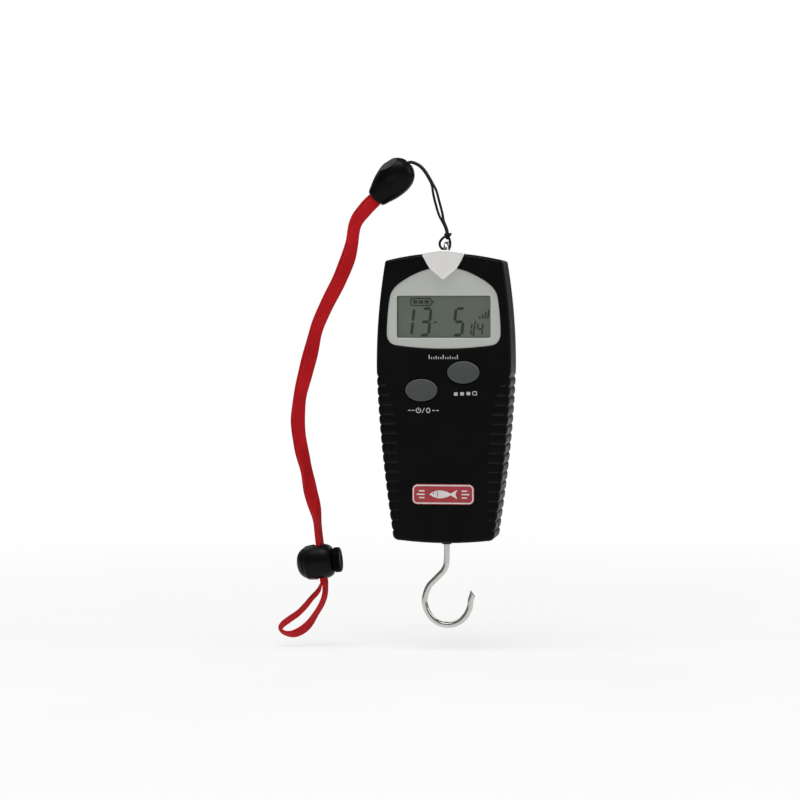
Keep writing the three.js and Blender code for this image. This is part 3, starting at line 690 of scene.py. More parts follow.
SHELL = moulded("moulded_black", (0.0012, 0.0014, 0.0013), (0.0022, 0.0026, 0.0024), 0.42,
                specular=0.07)
CONNECTOR_PLASTIC = moulded("connector_black", (0.001, 0.001, 0.0012), (0.002, 0.002, 0.0023), 0.34,
                            grain_mm=0.3, specular=0.1)
LOCK_PLASTIC = moulded("lock_black", (0.0012, 0.0012, 0.0014), (0.0022, 0.0022, 0.0026), 0.36,
                       grain_mm=0.28, specular=0.11)
PLUNGER_PLASTIC = moulded("plunger_black", (0.0012, 0.0012, 0.0014), (0.0022, 0.0022, 0.0026), 0.5,
                          grain_mm=0.28, specular=0.02)
SILVER = painted("silver_paint", (0.56, 0.575, 0.54), 0.42)
BRIGHT_SILVER = painted("bright_silver_paint", (0.86, 0.85, 0.83), 0.42)
STEEL = brushed("stainless_wire", (0.62, 0.61, 0.58), 0.2)
ZINC = brushed("zinc_plate", (0.5, 0.51, 0.53), 0.36, (1, 1, 1))
NICKEL = brushed("nickel_plate", (0.6, 0.57, 0.5), 0.28, (1, 1, 3))
ALUMINIUM = brushed("milled_aluminium", (0.55, 0.56, 0.57), 0.38, (16, 1, 1))
KEY_RUBBER = soft_rubber("key_rubber", (0.045, 0.051, 0.049), (0.15, 0.155, 0.15))
DARK_RUBBER = soft_rubber("black_rubber", (0.008, 0.008, 0.008), (0.03, 0.03, 0.03), 0.75)
WHITE_INK = ink("white_ink", (0.5, 0.51, 0.5))
LENS = clear_plastic("clear_lens")
LCD = display_glass("lcd_glass")
SEGMENTS = segment_ink("lcd_segments")
WHITE_PLASTIC = moulded("white_plastic", (0.55, 0.55, 0.52), (0.62, 0.62, 0.58), 0.5)
CABLE_JACKET = moulded("cable_jacket", (0.5, 0.5, 0.47), (0.58, 0.58, 0.54), 0.45, grain_mm=0.5)
POTTING = moulded("potting_resin", (0.004, 0.004, 0.004), (0.008, 0.008, 0.008), 0.25, grain_mm=0.9)
BOARD = board_laminate("circuit_board")
FOIL = coated_foil("gauge_foil", (0.55, 0.25, 0.06), (0.3, 0.12, 0.03))
CELL_WRAP = cell_wrap("cell_wrap")
CORD = braided("braided_cord")
BADGE_RED = enamel("badge_red", (0.36, 0.009, 0.018), (0.27, 0.005, 0.011))
BADGE_WHITE = enamel("badge_white", (0.68, 0.66, 0.64), (0.58, 0.56, 0.55))

# ------------------------------------------------------------------ housing shells


def side_x(z):
    """Half width of the housing at a height, without the ribs."""
    z = np.asarray(z, float)
    above = HALF_WIDTH - TOP_TAPER * ((z - WIDEST_Z) / (SHOULDER_Z - WIDEST_Z)) ** 2
    below = HALF_WIDTH - FOOT_TAPER * (np.maximum(WIDEST_Z - z, 0) / (WIDEST_Z - FOOT_Z)) ** 1.6
    return np.where(z > WIDEST_Z, above, below)


def top_z(x):
    """Height of the crowned top edge."""
    return TOP_Z - (TOP_Z - SHOULDER_Z) * (np.asarray(x, float) / float(side_x(SHOULDER_Z))) ** 2


def scallop(z):
    """Depth of the grip ribs at a height: a notch at each pitch and a round lobe between notches."""
    step = (RIB_TOP_Z - np.asarray(z, float)) / RIB_PITCH
    last = RIB_COUNT - 1
    lobe = np.abs(2 * (step - np.floor(step)) - 1) ** 3
    above = np.clip(1 + 2 * step, 0, 1) ** 2
    below = np.clip(1 - (step - last) / 0.3, 0, 1) ** 2
    return RIB_DEPTH * np.where(step < 0, above, np.where(step > last, below, lobe))


def mirrored(right):
    """Completes a right half, given from the foot's middle up to the top's middle."""
    right = np.asarray(right, float)
    return np.concatenate([right, right[-2:0:-1] * [-1, 1]])


def housing_ring(inset=0.0, ribs=1.0):
    """The housing's outline, drawn in by inset, with its grip ribs scaled."""
    foot_x = float(side_x(FOOT_Z))
    flat = foot_x - FOOT_CORNER
    along = np.linspace(0, flat, 14)
    bottom = np.stack([along, BOTTOM_Z + (FOOT_EDGE_Z - BOTTOM_Z) * (along / flat) ** 2 + inset], 1)
    foot_depth = inset + ribs * float(scallop(FOOT_Z))
    corner = bezier((flat, FOOT_EDGE_Z + inset), (foot_x - foot_depth, FOOT_EDGE_Z + inset),
                    (foot_x - foot_depth, FOOT_Z), 12)
    within = RIB_PITCH * np.array([0, 0.03, 0.08, 0.17, 0.3, 0.5, 0.7, 0.83, 0.92, 0.97])
    notches = RIB_TOP_Z - RIB_PITCH * np.arange(RIB_COUNT - 1, 0, -1)
    heights = np.concatenate([
        np.linspace(FOOT_Z, notches[0], 5)[1:-1], (notches[:, None] + within).ravel(),
        RIB_TOP_Z + RIB_PITCH * np.array([0, 0.06, 0.14, 0.26, 0.38, 0.5])])
    turn = 0.9
    upper = np.linspace(heights[-1], SHOULDER_Z - turn - inset, 16)[1:]
    heights = np.concatenate([heights, upper])
    side = np.stack([side_x(heights) - inset - ribs * scallop(heights), heights], 1)
    corner_x = float(side_x(SHOULDER_Z - inset)) - inset
    after = corner_x - turn
    shoulder = bezier(side[-1], (corner_x, float(top_z(corner_x)) - inset),
                      (after, float(top_z(after)) - inset), 6)
    over = np.linspace(after, 0, 18)[1:]
    top = np.stack([over, top_z(over) - inset], 1)
    return mirrored(np.concatenate([bottom, corner[1:], side, shoulder[1:], top]))


def shell_blank(name, face, radius):
    """One half of the housing, from the parting plane to a face with a rounded edge."""
    toward = math.copysign(1, face - SPLIT)
    rings = [at_depth(housing_ring(SEAM), SPLIT), at_depth(housing_ring(), SPLIT + toward * SEAM)]
    rings += [at_depth(housing_ring(radius * (1 - c)), face - toward * radius * (1 - s))
              for s, c in quarter(9)]
    return from_rings(name, rings)


def cavity(face, wall):
    toward = math.copysign(1, face - SPLIT)
    return slab("cavity", housing_ring(WALL + RIB_DEPTH, ribs=0), SPLIT - toward, face - toward * wall)


def bezel_outline(grow=0.0):
    right = chain(
        bezier((0, 22.0), (11, 22.0), (21.3, 23.5), 14), bezier((21.3, 23.5), (25.3, 24), (25.5, 29), 12),
        bezier((25.5, 29), (25.3, 38), (24.1, 45), 12), bezier((24.1, 45), (23.4, 48.6), (19.6, 51.3), 12),
        bezier((19.6, 51.3), (9.9, 58.2), (0, 58.2), 20))
    outline = mirrored(right)
    return offset_outline(outline, grow) if grow else outline


def face_grooves(face):
    """Cuts beside the ribs, each a short ledge that faces up below a long slope, fading out at both ends."""
    toward = math.copysign(1, face - SPLIT)
    deep, slope, ledge, out = 0.42, 1.9, 0.7, 0.3
    tools = []
    for i in range(1, RIB_COUNT - 1):
        z = RIB_TOP_Z - RIB_PITCH * i + 0.5
        inner = 18.6 + 8.3 * math.exp(-i / 3.1)
        outer = float(side_x(z)) - 0.8
        beyond = 1 + out / deep
        for side in (-1, 1):
            rings = [[(side * inner, face + toward * out, z)]]
            for x in (inner + 1.2, outer - 1.2):
                rings.append([(side * x, face + toward * out, z - ledge * (beyond - 0.5)),
                              (side * x, face + toward * out, z + slope * beyond),
                              (side * x, face - toward * deep, z + ledge / 2)])
            rings.append([(side * outer, face + toward * out, z)])
            tools.append(from_rings("groove", rings))
    return tools


def merged(tools, name="merged"):
    """One mesh out of separate solids, so that a single boolean takes them all."""
    keep = tools[0]
    keep.name = name
    work = bmesh.new()
    for tool in tools:
        work.from_mesh(tool.data)
    work.to_mesh(keep.data)
    work.free()
    for tool in tools[1:]:
        remove(tool)
    return keep


KEYS = {name: centre_mm(f"{name}_button") for name in ("power", "memory")}
KEY_HALF = (7.1, 4.92)
KEY_GAP = 0.28
CASE_SCREWS = [centre_mm(f"case_screw_{i}") for i in (1, 2, 3, 4)]
BADGE_LOW, BADGE_HIGH = box_mm("badge_plate")
BEZEL_LOW, BEZEL_HIGH = box_mm("display_bezel")
DOOR_LOW, DOOR_HIGH = box_mm("battery_door")
INNER_FRONT = FRONT + FRONT_WALL
EYE_HOLE, HOOK_HOLE = 5.65, 2.8
SMOOTH_SHELL = 30  # degrees; sharper edges stay crisp
TOP_WALL, FOOT_WALL = (57, 70), (-70, -59)  # heights between which the load line's holes run
WINDOW = {"half": 22.4, "low": 25.4, "high": 47.0}
POST = {"front": 3.0, "rear": 3.9, "pilot": 1.5, "head": 2.9, "head_depth": 4.0}
DOOR_HALF = 12.5
DOOR_GAP = 0.3
BAY_HALF = 11.2
BAY_FLOOR = SPLIT - 0.1
HINGE_BORE = 0.75


def screw_rods(name, start_y, end_y, radius, sides=32):
    """A rod along Y at each case screw."""
    return [rod(name, (x, start_y, z), (x, end_y, z), radius, sides) for x, z in CASE_SCREWS]


def line_bores():
    """Holes on the load line for the eye and the hook, cut in both shells."""
    return [axis_rod("eye_hole", *TOP_WALL, EYE_HOLE, 64), axis_rod("hook_hole", *FOOT_WALL, HOOK_HOLE, 48)]


def finish_shell(shell, tools, face, node):
    cut(shell, *tools)
    cut(shell, merged(face_grooves(face)))
    finish_piece(smooth(shell, SMOOTH_SHELL), "housing", "shell", node, material=SHELL)


def front_shell():
    shell = shell_blank("front_shell", FRONT, FRONT_ROUND)
    cut(shell, cavity(FRONT, FRONT_WALL))
    join(shell, *screw_rods("post", INNER_FRONT - 0.5, SPLIT, POST["front"]))
    past, half = FRONT - 4, WINDOW["half"]
    tools = [
        slab("pocket", bezel_outline(0.15), BEZEL_HIGH[1], FRONT, flare=0.25),
        block("window", -half, half, past, INNER_FRONT + 2, WINDOW["low"], WINDOW["high"], 0.6),
        slab("badge_seat", badge_outline(0.2), FRONT + 0.25, past), *line_bores()]
    for x, z in KEYS.values():
        hole = oval(x, z, KEY_HALF[0] + KEY_GAP, KEY_HALF[1] + KEY_GAP, 96)
        tools.append(slab("key_hole", hole, INNER_FRONT + 2, FRONT, flare=0.3))
    tools += screw_rods("pilot", INNER_FRONT + 1, SPLIT + 2, POST["pilot"], 20)
    finish_shell(shell, tools, FRONT, "front_case")


def badge_outline(grow=0.0):
    x0, x1, z0, z1 = BADGE_LOW[0], BADGE_HIGH[0], BADGE_LOW[2], BADGE_HIGH[2]
    return rounded_rectangle(x0 - grow, x1 + grow, z0 - grow, z1 + grow, 2.4 + grow, 8)


def rear_shell():
    shell = shell_blank("rear_shell", BACK, BACK_ROUND)
    cut(shell, cavity(BACK, WALL))
    low, high = DOOR_LOW[2] + 1.65, DOOR_HIGH[2] - 1.2
    around = BAY_HALF + 1.9
    bay = block("bay", -around, around, BAY_FLOOR - 1.2, BACK - 1, low - 2.8, high + 2.1)
    join(shell, bay, *screw_rods("post", SPLIT, BACK - 1, POST["rear"]))
    seat_x = DOOR_HALF + DOOR_GAP
    notch_place = (Matrix.Translation((0, BACK, DOOR_HIGH[2] + 0.5)) @ Matrix.Rotation(-math.pi / 2, 4, "X")
                   @ Matrix.Diagonal((1, 0.62, 1, 1)))
    notch = [(0, -2.3), (2.6, -1.9), (4.4, -0.9), (5.2, 0.2), (5.4, 1.5), (0, 1.5)]
    tools = [
        block("pocket", -BAY_HALF, BAY_HALF, BAY_FLOOR, BACK + 3, low, high, 0.5),
        plate("door_seat", -seat_x, seat_x, DOOR_LOW[2] - DOOR_GAP, DOOR_HIGH[2] + DOOR_GAP, 0.8, -1.9, BACK,
              flare=0.2),
        rod("hinge_bore", (-14, *HINGE[1:]), (14, *HINGE[1:]), HINGE_BORE, 24),
        turned("finger_notch", notch, notch_place), *line_bores()]
    tools += screw_rods("screw_hole", SPLIT - 1, 1, POST["pilot"], 20)
    head = POST["head"]
    tools += [slab("head_hole", oval(x, z, head, head, 40), -POST["head_depth"], BACK, flare=0.3)
              for x, z in CASE_SCREWS]
    finish_shell(shell, tools, BACK, "rear_case")


front_shell()
rear_shell()

# ------------------------------------------------------------------ flat marks and outlines


def stroke(points, width, back, front, closed=False):
    """A line of even width, drawn through X and Z points and given depth."""
    p = np.asarray(points, float)
    if closed:
        return hoop(offset_outline(p, width / 2), offset_outline(p, -width / 2), back, front)
    t = tangents(p)
    side = np.stack([-t[:, 1], t[:, 0]], 1) * width / 2
    return slab("stroke", np.concatenate([p + side, (p - side)[::-1]]), back, front)


def hoop(outer, inner, back, front):
    """A closed band between two outlines of equal length."""
    loops = [at_depth(outer, back), at_depth(outer, front), at_depth(inner, front), at_depth(inner, back)]
    n = len(outer)
    faces = []
    for i in range(4):
        a, b = i * n, (i + 1) % 4 * n
        faces += [(a + j, b + j, b + (j + 1) % n, a + (j + 1) % n) for j in range(n)]
    band = make_object("hoop", np.concatenate(loops), faces)
    face_outward(band)
    return band


def arc_points(x, z, radius, start, end, count=24):
    a = np.radians(np.linspace(start, end, count))
    return np.stack([x + radius * np.cos(a), z + radius * np.sin(a)], 1)


# ------------------------------------------------------------------ display

SEGMENT = 1.3  # stroke of a large digit
LEAN = 0.11
SEGMENTS_OF = {"1": "bc", "3": "abcdg", "5": "acdfg", "4": "bcfg"}


def segment_bar(x0, z0, x1, z1, width, lean_from):
    """One bar of a digit with pointed ends, leaning to the right."""
    a, b = np.array([x0, z0], float), np.array([x1, z1], float)
    t = (b - a) / np.linalg.norm(b - a)
    side = np.array([-t[1], t[0]]) * width / 2
    tip = t * width / 2
    points = np.array([a, a + tip + side, b - tip + side, b, b - tip - side, a + tip - side])
    points[:, 0] += (points[:, 1] - lean_from) * LEAN
    return points


def digit(figure, x, z, wide, tall, width):
    gap = width * 0.12
    left, right, low, mid, high = x, x + wide, z, z + tall / 2, z + tall
    bars = {
        "a": (left + gap, high, right - gap, high), "b": (right, high - gap, right, mid + gap),
        "c": (right, mid - gap, right, low + gap), "d": (left + gap, low, right - gap, low),
        "f": (left, high - gap, left, mid + gap), "g": (left + gap, mid, right - gap, mid)}
    return [segment_bar(*bars[letter], width, z) for letter in SEGMENTS_OF[figure]]


LCD_LOW, LCD_HIGH = box_mm("lcd_panel")
LENS_LOW, LENS_HIGH = box_mm("display_lens")

DIGIT_Z, TALL = 28.1, 11.7
DIGITS = [  # figure, left edge, width, height and stroke
    ("1", -18.2, 3.6, TALL, SEGMENT), ("3", -10.7, 3.7, TALL, SEGMENT), ("5", 4.1, 3.8, TALL, SEGMENT),
    ("1", 10.4, 1.5, 5.2, 0.75), ("4", 14.7, 2.1, 5.2, 0.75)]
THIN_BAR = 0.7
TRIM_WINDOW = (-20.9, 20.9, 26.8, 45.5)


def display():
    back, front = BEZEL_HIGH[1], BEZEL_LOW[1]
    bezel = slab("display_trim", bezel_outline(), back, front, front_edge=0.28)
    cut(bezel, plate("window", *TRIM_WINDOW, 0.9, back + 1, front, flare=0.1))
    finish_piece(smooth(bezel, SMOOTH_SHELL), "housing", "silver_plastic", "display_bezel", material=SILVER)

    lens = plate("display_window", LENS_LOW[0], LENS_HIGH[0], LENS_LOW[2], LENS_HIGH[2], 1.2, LENS_HIGH[1],
                 LENS_LOW[1], front_edge=0.12, back_edge=0.05)
    finish_piece(smooth(lens), "housing", "clear_lens", "display_lens", material=LENS)

    glass = plate("lcd_glass", LCD_LOW[0], LCD_HIGH[0], LCD_LOW[2], LCD_HIGH[2], 0.3, LCD_HIGH[1],
                  LCD_LOW[1], 2, front_edge=0.08, back_edge=0.08)
    finish_piece(smooth(glass), "housing", "lcd_glass", "lcd_panel", material=LCD)

    bars = [bar for figure, x, *sizes in DIGITS for bar in digit(figure, x, DIGIT_Z, *sizes)]
    middle = DIGIT_Z + TALL / 2 - 0.2
    lines = [(13.0, DIGIT_Z - 0.6, 13.3, DIGIT_Z + 6.4), (-5.4, middle, -3.6, middle)]
    lines += [(15.1 + 1.2 * i, 35.2, 15.1 + 1.2 * i, 36.6 + 0.9 * i) for i in range(4)]
    bars += [segment_bar(*line, THIN_BAR, DIGIT_Z) for line in lines]
    back, front = LCD_LOW[1] + 0.05, LCD_LOW[1] - 0.05
    marks = [slab("bar", bar, back, front) for bar in bars]
    marks.append(stroke(rounded_rectangle(-14.9, -5.7, 41.2, 44.3, 0.8, 4), 0.55, back, front, closed=True))
    marks.append(plate("nub", -5.3, -4.6, 42.1, 43.4, 0.2, back, front, 2))
    marks += [plate("charge", -13.9 + 2.6 * i, -11.9 + 2.6 * i, 42.0, 43.5, 0.15, back, front, 2)
              for i in range(3)]
    finish_piece(merged(marks, "lcd_figures"), "housing", "lcd_glass", material=SEGMENTS)


# ------------------------------------------------------------------ cap, keys, badge and print

CAP_LOW, CAP_HIGH = box_mm("top_cap")
CAP_ARCH = 1.3  # rise of the cap's upper edge at its middle


def cap_ring(inset, drop, y):
    half = CAP_HIGH[0] - inset
    corner_z = CAP_HIGH[2] - CAP_ARCH - drop
    waist = (6 - inset, 57.6 + inset)
    lower = bezier((0, CAP_LOW[2] + 1.45 * inset), (3.0 - inset * 0.5, 54.9 + inset), waist, 10)
    flank = bezier(waist, (half - 1.1, 61), (half, corner_z), 12)
    over = np.linspace(half, 0, 12)[1:]
    top = np.stack([over, corner_z + CAP_ARCH * (1 - (over / half) ** 2)], 1)
    return at_depth(mirrored(np.concatenate([lower, flank[1:], top])), y)


def top_shield():
    """The bright shield whose upper part wraps over the housing, with a hole for the eye."""
    front, half = CAP_LOW[1], CAP_HIGH[0]
    edge, brow = 0.42, 1.35
    rings = [cap_ring(0, 0, FRONT + 0.9)]
    rings += [cap_ring(edge * (1 - c), brow * (1 - c), front + edge * (1 - s)) for s, c in quarter(7)]
    face = from_rings("top_shield", rings)
    xs = np.linspace(-half, half, 25)
    crown = CAP_HIGH[2] - CAP_ARCH * (xs / half) ** 2
    lower = np.stack([xs, top_z(xs) - 0.25], 1)
    upper = np.stack([xs, crown], 1)[::-1]
    wrap = slab("wrap", np.concatenate([lower, upper]), CAP_HIGH[1], FRONT + 0.6, back_edge=0.3)
    rear, side = (6.2, -5), (half, FRONT - 1)
    plan = mirrored(chain(bezier((0, -3), (5.6, -3), rear, 8), bezier(rear, (7.9, AXIS_Y), side, 16),
                          [side, (0, FRONT - 1)]))
    column = from_rings("column", [[(x, y, z) for x, y in plan] for z in (60, 70)])
    combine(wrap, [column], "INTERSECT")
    join(face, wrap)
    cut(face, axis_rod("hole", 60, 70, 4.8, 64))
    finish_piece(smooth(face, 38), "housing", "silver_plastic", "top_cap", material=BRIGHT_SILVER)


def key(name):
    """A domed rubber key with a rolled rim, a hidden flange and a stem."""
    x, z = KEYS[name]
    low = box_mm(f"{name}_button")[0][1]
    r, crown = KEY_HALF[1], -low
    dome = smooth_profile([
        (r, crown - 1.25), (r - 0.1, crown - 0.85), (r - 0.42, crown - 0.55), (r * 0.78, crown - 0.42),
        (r * 0.5, crown - 0.16), (r * 0.24, crown - 0.03), (0.02, crown)], 5)
    profile = [(0, 21.9), (1.6, 21.9), (1.6, 22.2), (r + 0.9, 22.2), (r + 0.9, 23.1), (r, 23.1)]
    profile += [tuple(p) for p in dome[:-1]] + [(0, crown)]
    place = (Matrix.Translation((x, 0, z)) @ Matrix.Rotation(math.pi / 2, 4, "X")
             @ Matrix.Diagonal((KEY_HALF[0] / r, 1, 1, 1)))
    cap = turned(f"{name}_key", profile, place, 96)
    finish_piece(smooth(cap, 40), f"{name}_key", "key_rubber", f"{name}_button", material=KEY_RUBBER)


BADGE_MIDDLE = (BADGE_LOW[2] + BADGE_HIGH[2]) / 2


def fish_outline():
    """A plain fish: a lens-shaped body and a forked tail."""
    nose, tail = -6.2, 3.4
    back = bezier((nose, 0), (-1.8, 3.3), (tail, 0.35), 18)
    fork = [(6.3, 2.1), (5.5, 0), (6.3, -2.1)]
    belly = bezier((tail, -0.35), (-1.8, -3.3), (nose, 0), 18)
    return np.concatenate([back, fork, belly[:-1]]) + [0, BADGE_MIDDLE]


def badge():
    back, front = BADGE_HIGH[1], BADGE_LOW[1]
    face = slab("badge_face", badge_outline(), back, front + 0.05, front_edge=0.25)
    finish_piece(smooth(face), "housing", "badge", "badge_plate", material=BADGE_RED)
    base = front + 0.15
    rim = hoop(badge_outline(-0.35), badge_outline(-0.9), base, front)
    fish = slab("fish", fish_outline(), base, front)
    gill = [arc_points(-4.6, BADGE_MIDDLE, *arc, 12) for arc in ((2.0, -32, 32), (2.3, 30, -30))]
    cut(fish, slab("eye", oval(-4.3, BADGE_MIDDLE + 0.35, 0.32, 0.32, 24), front + 1, front - 1))
    cut(fish, slab("gill", np.concatenate(gill), front + 1, front - 1))
    lines = []
    for side in (-1, 1):
        for i, reach in enumerate((2.6, 3.6, 2.6)):
            z = BADGE_MIDDLE + 1.5 * (i - 1)
            x0, x1 = sorted((8.2 * side, 8.2 * side + reach * side))
            lines.append(plate("line", x0, x1, z - 0.28, z + 0.28, 0.27, base, front, 4))
    finish_piece(merged([rim, fish, *lines], "badge_marks"), "housing", "badge", material=BADGE_WHITE)


def printed_marks():
    """Plain pictograms beside the keys and a tick scale under the window, in raised ink."""
    depth = FRONT + 0.05, FRONT - 0.05
    marks = []
    for i in range(13):
        tall = 1.9 if i % 6 == 0 else 1.35 if i % 3 == 0 else 0.9
        x = -6.3 + 1.05 * i
        marks.append(plate("tick", x - 0.2, x + 0.2, 17.5, 17.5 + tall, 0.08, *depth, 2))
    x, z = KEYS["power"][0] + 0.9, KEYS["power"][1] - 9.0
    marks += [stroke(arc_points(x - 2.2, z, 1.0, 125, 415, 28), 0.38, *depth),
              plate("bar", x - 2.4, x - 2.0, z, z + 1.4, 0.1, *depth, 2),
              stroke([(x - 0.5, z - 1.1), (x + 0.5, z + 1.1)], 0.34, *depth),
              stroke(oval(x + 2.2, z, 0.75, 1.0, 32), 0.38, *depth, closed=True)]
    for side in (-1, 1):
        for i in range(2):
            cx = x + side * (4.6 + 1.7 * i)
            marks.append(plate("dash", cx - 0.6, cx + 0.6, z - 0.2, z + 0.2, 0.15, *depth, 2))
    x, z = KEYS["memory"][0] + 0.9, KEYS["memory"][1] - 9.4
    for i in range(4):
        cx, cz = x - 4.2 + 2.8 * i, z - 0.18 + 0.12 * i
        square = rounded_rectangle(cx - 0.85, cx + 0.85, cz - 0.75, cz + 0.75, 0.3, 3)
        marks.append(slab("slot", square, *depth) if i < 3 else stroke(square, 0.34, *depth, closed=True))
    finish_piece(merged(marks, "printed_marks"), "housing", "white_plastic", material=WHITE_INK)


display()
top_shield()
key("power")
key("memory")
badge()
printed_marks()

# ------------------------------------------------------------------ hook and eye


def lay_uv(obj, count, along, across, around=None):
    """UV in millimetres for a swept piece: U along the path, V from across; around closes a tube's V."""
    layer = obj.data.uv_layers.new(name="run")
    uv = np.zeros((len(obj.data.loops), 2))
    for face in obj.data.polygons:
        spots = [obj.data.loops[i].vertex_index for i in face.loop_indices]
        wraps = around is not None and {0, count - 1} <= {s % count for s in spots} and len(spots) == 4
        for loop, spot in zip(face.loop_indices, spots):
            ring, j = divmod(spot, count)
            v = around if wraps and j == 0 else across[j]
            uv[loop] = (along[min(ring, len(along) - 1)], v)
    layer.data.foreach_set("uv", uv.ravel())


HOOK_WIRE = 1.35
HOOK_BEND = {"x": 0.45, "z": box_mm("hook")[0][2] + HOOK_WIRE + 11.2, "radius": 10.4, "depth": 11.2}
HOOK_TIP = {"x": 11.8, "z": -87.9, "slant": 0.93}


def hook():
    bend = arc_points(0, 0, 1, 176.4, 360, 12) * (HOOK_BEND["radius"], HOOK_BEND["depth"])
    shank = [(0, -49.9), (0, -60), (0, -72.5), (-1, -77), (-4.4, -80.8), (-8.1, -84.9)]
    centre = np.concatenate([shank, bend + (HOOK_BEND["x"], HOOK_BEND["z"]), [(11.75, -88), (12.1, -85)]])
    path, _ = in_plane(centre, 0.9)
    wire = tube("steel_hook", path, HOOK_WIRE, 28)
    tip = Matrix.Translation((HOOK_TIP["x"], AXIS_Y, HOOK_TIP["z"]))
    tip = tip @ Matrix.Rotation(HOOK_TIP["slant"], 4, "Y")
    cut(wire, placed_block(tip, -6, 6, -6, 6, 0, 6))
    finish_piece(smooth(wire, 40), "hook", "stainless", "hook", material=STEEL)

    low, high = box_mm("hook_bushing")
    profile = [(0, low[2] + 0.6), (1.9, low[2] + 0.6), (2.35, low[2] + 0.95), (2.6, low[2] + 1.6),
               (2.6, high[2] - 1.35), (4, high[2] - 1.35), (4, high[2]), (0, high[2])]
    ring = turned("hook_collar", profile, LOAD_LINE, 48)
    cut(ring, axis_rod("bore", low[2] - 1, high[2] + 1, 1.75, 40))
    finish_piece(smooth(ring), "housing", "connector_plastic", "hook_bushing", material=CONNECTOR_PLASTIC)
    hex_nut("hook_lock_nut", 1.65, "hook", "hook_nut")


def hex_nut(name, bore, body, node):
    """A chamfered hexagon nut on the load line."""
    low, high = box_mm(node)
    radius = (high[0] - low[0]) / 2
    flat = radius * math.cos(math.pi / 6)
    angles = np.radians(np.arange(6) * 60)
    hexagon = [[(radius * math.cos(a), AXIS_Y + radius * math.sin(a), z) for a in angles]
               for z in (low[2], high[2])]
    nut = from_rings(name, hexagon)
    cone = [(0, low[2] - 0.1), (flat, low[2] - 0.1), (radius + 0.05, low[2] + 0.35),
            (radius + 0.05, high[2] - 0.35), (flat, high[2] + 0.1), (0, high[2] + 0.1)]
    combine(nut, [turned("cone", cone, LOAD_LINE, 48)], "INTERSECT")
    cut(nut, axis_rod("bore", low[2] - 1, high[2] + 1, bore, 32))
    finish_piece(smooth(nut), body, "zinc", node, material=ZINC)


def hanging_eye():
    wire, radius, centre = 1.25, 3.0, PIVOT[2] - 3.0
    arch = arc_points(0, centre, radius, 180, 0, 16)
    line = np.concatenate([[(-radius, 62.3)], arch, [(radius, 62.3)]])
    path, _ = even_path(np.stack([np.zeros(len(line)), AXIS_Y + line[:, 0], line[:, 1]], 1), 0.5)
    bail = tube("swivel_eye", path, wire, 24)
    hub = [(0, 61.6), (3.9, 61.6), (4.3, 62.0), (4.3, 64.2), (4.1, 64.7), (3.6, 64.9), (0, 64.9)]
    stem = [(0, 57.6), (1.7, 57.6), (2, 57.9), (2, 62), (0, 62)]
    join(bail, turned("hub", hub, LOAD_LINE), turned("stem", stem, LOAD_LINE, 40))
    finish_piece(smooth(bail, 40), "eye", "stainless", "hanging_eye", material=STEEL)
    hex_nut("eye_lock_nut", 2.25, "eye", "eye_nut")
    sleeve = turned("eye_sleeve", [(0, 60.2), (6.8, 60.2), (7, 60.4), (7, 61.85), (5.5, 61.85), (5.5, 64.05),
                                   (5.35, 64.2), (0, 64.2)], LOAD_LINE)
    cut(sleeve, axis_rod("bore", 61.3, 66, 4.65, 48), axis_rod("bore", 60, 62, 2.3, 40))
    finish_piece(smooth(sleeve), "housing", "nickel", "eye_bushing", material=NICKEL)


# ------------------------------------------------------------------ cord

CORD_RADIUS = 0.56


def cord_tube(name, path, radius=CORD_RADIUS, sides=14):
    piece = tube(name, path, radius, sides)
    lay_uv(piece, sides, lengths(path), np.arange(sides) / sides, around=1.0)
    return piece


def cord():
    """Two strands from the connector, an overhand knot, and a loop round the eye."""
    knot_z = PIVOT[2] + 3.7
    centre, length = in_plane([
        (0.3, knot_z), (-0.3, knot_z + 3.2), (-2.3, 80.3), (-4.4, 87.6), (-6.2, 94.4), (-8.7, 99.2),
        (-10.9, 102.3), (-13.3, 104.2), (MOUTH[0] + 0.4, MOUTH[2] + 0.2),
        (MOUTH[0] - 2.2, MOUTH[2] - 1.0)], 0.35)
    sides, ups = carried_frames(centre)
    share = length / length[-1]
    opening = np.exp(-((share - 0.37) / 0.17) ** 4)
    turn = 1.25 - 1.2 * opening
    part = 0.6 + 0.33 * opening
    pieces = []
    for sign in (1, -1):
        offset = sides * (np.cos(turn) * part)[:, None] + ups * (np.sin(turn) * part)[:, None]
        pieces.append(cord_tube("strand", centre + sign * offset))
    around_eye = [(0.7, 0.2), (-1.3, -0.6), (-2.9, -2.3), (-3.2, -3.9), (-2.4, -5.5), (-0.5, -6.15),
                  (1.1, -5.3), (1.45, -3.6), (1.2, -1.8), (0.3, 0.1)]
    loop, _ = in_plane([(x, knot_z + z) for x, z in around_eye], 0.3)
    loop[:, 1] += np.linspace(-0.5, 0.5, len(loop))
    pieces.append(cord_tube("loop", loop))
    t = np.linspace(0, 2 * math.pi, 73)
    x = 0.4 * (np.sin(t) + 2 * np.sin(2 * t))
    z = 0.4 * (np.cos(t) - 2 * np.cos(2 * t))
    knot = np.stack([0.3 + x, AXIS_Y - 0.55 * np.sin(3 * t), knot_z + z], 1)
    pieces.append(cord_tube("knot", knot[:-1], 0.5))
    end, _ = in_plane([(0.6, knot_z + 0.3), (1.5, knot_z + 0.9), (2.1, knot_z + 0.6)], 0.3)
    pieces.append(cord_tube("tail", end, 0.45))
    whole = join_loose("lanyard_cord_strands", pieces)
    finish_piece(smooth(whole, 50), "lanyard_cord", "cord", "cord_loop", material=CORD)


def join_loose(name, pieces):
    """One object out of several solids that keep their own UVs."""
    with bpy.context.temp_override(active_object=pieces[0], selected_editable_objects=pieces,
                                   selected_objects=pieces):
        bpy.ops.object.join()
    pieces[0].name = name
    pieces[0].data.name = name
    return pieces[0]


